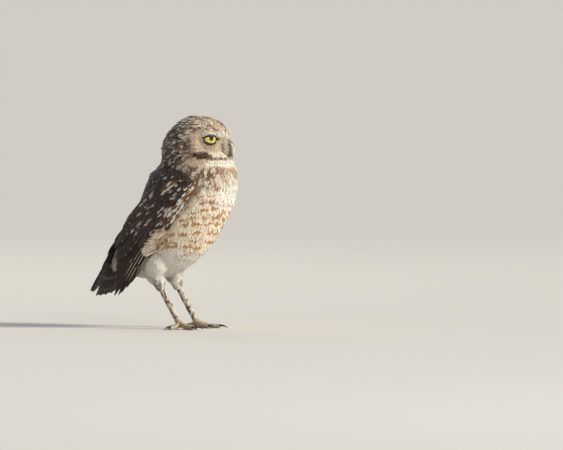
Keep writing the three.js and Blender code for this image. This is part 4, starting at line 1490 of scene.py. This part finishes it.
class OWL_OT_legs(bpy.types.Operator):
    """Builds the lower legs and feet with their scales, bristles and claws"""
    bl_idname = "owl.legs"
    bl_label = "Legs"

    def execute(self, context):
        skin = grained_material("scaly_leg_skin", 0.6, SKIN_GRAIN, grains=1500.0, depth=0.6)
        horn = grained_material("claw_horn", 0.25, HORN_GRAIN, grains=900.0, depth=0.15,
                                Coat_Weight=0.5, Coat_Roughness=0.2)
        bristle = feather_material("leg_bristles", 0.1)
        rng = draws("legs")
        thin, thick = LEG["shank_radius"] - LEG_COAT, LEG["ankle_radius"] - LEG["shank_radius"]
        radii = [(thin + thick * t ** 4) * MM for t in np.linspace(-1, 1, SHANK_RINGS)]
        ankle, high = LEG["ankle"]
        foot = LEG["foot"]
        profile = ((ankle - 3, high + 7), (ankle - 1, high + 3), (ankle + 7.5, high - 11.5),
                   (foot - 7.5, 18), (foot, 6.2))
        for name, side in SIDES.items():
            y = side * LEG["stance"]
            shank = smooth_path([leg_place(x, y, z) for x, z in profile], SHANK_RINGS)
            self.leg(name, shank, radii, leg_place(foot, y, 0), skin)
            self.claws(name, leg_place(foot, y, 0), horn)
            self.bristles(name, np.array(shank), np.array(radii), bristle, rng)
        return {"FINISHED"}

    def leg(self, name, shank, radii, foot, finish):
        """The lower leg and its four padded toes, cut flat by the floor."""
        builder = bmesh.new()
        tube(builder, shank, radii, 20)
        low = TOE_RADIUS - 0.7
        for bearing, reach in TOES.values():
            way = toe_way(name, bearing) * reach
            rise = ((0, 6.4), (0.3, low + 2), (0.62, low + 0.5), (1, low + 0.2))
            path = [foot + (way * share + np.array([0, 0, z])) * MM for share, z in rise]
            width = [TOE_RADIUS * (1.15 - 0.28 * t + 0.1 * math.sin(t * TOE_PAD_WAVES)) * MM
                     for t in np.linspace(0, 1, TOE_RINGS)]
            tube(builder, smooth_path(path, TOE_RINGS), width, 16)
        mesh = outward_mesh(builder, f"leg_{name}_skin")
        points = vertex_values(mesh, "co")
        points[:, 2] = np.maximum(points[:, 2], 0.0)
        move_to(mesh, points)
        set_colour(mesh, "ground", paint("leg"))
        new_piece(f"leg_{name}_skin", mesh, finish, (f"leg_{name}", f"foot_{name}"))

    def claws(self, name, foot, finish):
        """Four claws that rise from the toes and curve down to the floor."""
        builder = bmesh.new()
        bend = ((-3, 0), (1, 0.3), (CLAW["reach"] * 0.6, CLAW["rise"] - CLAW_ROOT),
                (CLAW["reach"] * 0.95, 0.45 - CLAW_ROOT))
        for bearing, reach in TOES.values():
            way = toe_way(name, bearing)
            path = [foot + (way * (reach + ahead) + np.array([0, 0, CLAW_ROOT + up])) * MM
                    for ahead, up in bend]
            tube(builder, smooth_path(path, CLAW_RINGS), taper(CLAW["radius"], 0.22, CLAW_RINGS, 1.2), 14)
        mesh = outward_mesh(builder, f"claws_{name}")
        set_colour(mesh, "ground", paint("claw"))
        new_piece(f"claws_{name}", mesh, finish, [f"claw_{name}_{toe}" for toe in TOES])

    def bristles(self, name, path, radii, finish, rng):
        """Short narrow feathers all round the lower leg, pale and mottled brown, mostly behind, where the
        mottling is partly their own and partly painted shade.
        """
        count = LEG_BRISTLES
        spot_on = rng.random(count) * (len(path) - 1)
        turn = rng.random(count) * math.tau
        i = np.minimum(spot_on.astype(int), len(path) - 2)
        centre = path[i] + (path[i + 1] - path[i]) * (spot_on - i)[:, None]
        way = unit(path[i + 1] - path[i])
        across = np.array([0.0, 1.0, 0.0])
        facing = across * np.cos(turn)[:, None] + np.cross(way, across) * np.sin(turn)[:, None]
        root = centre + facing * (radii[i] * 0.96)[:, None]
        far, value = cell_noise(root * np.array([1, 1, 0.5]), 1.9 * MM, 4)
        # More dark feathers on the back of the leg: partly real mottling, partly painted shade.
        behind = smooth_step(0.3, -0.6, facing[:, 0])
        dark = (value < 0.3 + 0.5 * behind) * smooth_step(0.75, 0.55, far)
        pale = paint("white") * 0.55 + paint("leg") * 0.4
        ground = blend(pale, paint("brown") * 0.9, dark * 0.9)
        ground *= vary(rng, count, 0.8, 1.1)[:, None]
        vanes = Vanes(2, 3, STREAK, 0.2, 0.0)
        vanes.add(root, way, facing, vary(rng, count, 3, 5) * MM, 1.25 * MM,
                  ground, ground, PLAIN, lift=0.16, curl=0.1)
        vanes.piece(f"leg_{name}_bristles", finish, "leg_feathers")


# Stage

FLOOR_HALF = 400.0  # metres: wide enough to reach past the top of the frame at this low a camera
CAMERA_AWAY = 8.0
SENSOR = 36
AIR = {"colour": (0.86, 0.9, 1.0, 1), "strength": 0.4}
LIT_HEIGHT = 0.13

# For each lamp: its kind, its place to the right of the camera's view, away and up, its angle or size,
# its power and its colour
LAMPS = {
    "key": ("SUN", (2.3, -0.9, 1.5), math.radians(16), 3.9, (1.0, 0.93, 0.82)),
    "fill": ("AREA", (0.95, -2.0, 1.2), 0.6, 6, (0.92, 0.95, 1.0)),
    "rim": ("AREA", (-0.6, 1.6, 1.6), 1.4, 5, (1.0, 0.98, 0.95)),
}


class OWL_OT_stage(bpy.types.Operator):
    """Sets the floor, lights and camera"""
    bl_idname = "owl.stage"
    bl_label = "Stage"

    def execute(self, context):
        scene = context.scene
        turn = sizes().camera_turn
        right = Vector((math.cos(turn), math.sin(turn), 0))
        away = Vector((-math.sin(turn), math.cos(turn), 0))
        up = Vector((0, 0, 1))
        self.floor(scene)
        self.lamps(scene, right, away, up)
        self.camera(scene, right, away, up)
        return {"FINISHED"}

    def floor(self, scene):
        paint_finish, _, shader = material("matt_painted_floor", 0.85)
        shader.inputs["Base Color"].default_value = (*paint("floor"), 1)
        builder = bmesh.new()
        bmesh.ops.create_grid(builder, x_segments=1, y_segments=1, size=FLOOR_HALF)
        mesh = mesh_from(builder, "floor")
        mesh.materials.append(paint_finish)
        floor = bpy.data.objects.new("floor", mesh)
        scene.collection.objects.link(floor)

    def lamps(self, scene, right, away, up):
        """Pale light from all round, a warm sun from the right, a cool fill and a light from behind."""
        world = bpy.data.worlds.new("pale_room")
        world.use_nodes = True
        background = world.node_tree.nodes["Background"]
        background.inputs["Color"].default_value = AIR["colour"]
        background.inputs["Strength"].default_value = AIR["strength"]
        scene.world = world
        scene.view_settings.view_transform = "Standard"
        target = Vector((FEET_AHEAD * MM * 0.4, 0, LIT_HEIGHT))
        for name, (kind, (aside, back, high), soft, power, colour) in LAMPS.items():
            light = bpy.data.lights.new(name, kind)
            if kind == "SUN":
                light.angle = soft
            else:
                light.size = soft
            light.energy = power
            light.color = colour
            lamp = bpy.data.objects.new(name, light)
            lamp.location = right * aside + away * back + up * high
            lamp.rotation_euler = (target - lamp.location).to_track_quat("-Z", "Y").to_euler()
            scene.collection.objects.link(lamp)

    def camera(self, scene, right, away, up):
        """The lens and the aim give the owl the photograph's size and place in the frame."""
        lens = bpy.data.cameras.new("camera")
        lens.sensor_width = SENSOR
        lens.lens = SENSOR * CAMERA_AWAY / (PHOTO_WIDE * MM_PER_PIXEL * MM)
        lens.clip_end = 2 * FLOOR_HALF
        sideways = FEET_AHEAD * right.x + (PHOTO_WIDE / 2 - FEET_COLUMN) * MM_PER_PIXEL
        height = (SOLE_ROW - PHOTO_HIGH / 2) * MM_PER_PIXEL
        look_at = (right * sideways + up * height) * MM
        tilt = sizes().camera_height
        camera = bpy.data.objects.new("camera", lens)
        camera.location = look_at + (up * math.sin(tilt) - away * math.cos(tilt)) * CAMERA_AWAY
        camera.rotation_euler = (look_at - camera.location).to_track_quat("-Z", "Y").to_euler()
        scene.collection.objects.link(camera)
        scene.camera = camera


class OWL_PT_panel(bpy.types.Panel):
    """Lists the steps that build the owl"""
    bl_label = "Burrowing owl"
    bl_idname = "OWL_PT_panel"
    bl_space_type = "VIEW_3D"
    bl_region_type = "UI"
    bl_category = "Owl"

    def draw(self, context):
        for operator in OPERATORS:
            self.layout.operator(operator.bl_idname)
        for group in (context.scene.owl_sizes, context.scene.owl_colours):
            for key in group.__annotations__:
                self.layout.prop(group, key)


OPERATORS = (OWL_OT_stage, OWL_OT_skin, OWL_OT_body_feathers, OWL_OT_head_feathers, OWL_OT_wings,
             OWL_OT_tail, OWL_OT_eyes, OWL_OT_bill, OWL_OT_legs)
CLASSES = (OwlSizes, OwlColours, *OPERATORS, OWL_PT_panel)


def register():
    for kind in CLASSES:
        bpy.utils.register_class(kind)
    bpy.types.Scene.owl_sizes = PointerProperty(type=OwlSizes)
    bpy.types.Scene.owl_colours = PointerProperty(type=OwlColours)


def unregister():
    del bpy.types.Scene.owl_colours
    del bpy.types.Scene.owl_sizes
    for kind in reversed(CLASSES):
        bpy.utils.unregister_class(kind)


def main():
    register()
    bpy.ops.owl.stage()
    bpy.ops.owl.skin()
    bpy.ops.owl.body_feathers()
    bpy.ops.owl.head_feathers()
    bpy.ops.owl.wings()
    bpy.ops.owl.tail()
    bpy.ops.owl.eyes()
    bpy.ops.owl.bill()
    bpy.ops.owl.legs()


if __name__ == "__main__":
    main()
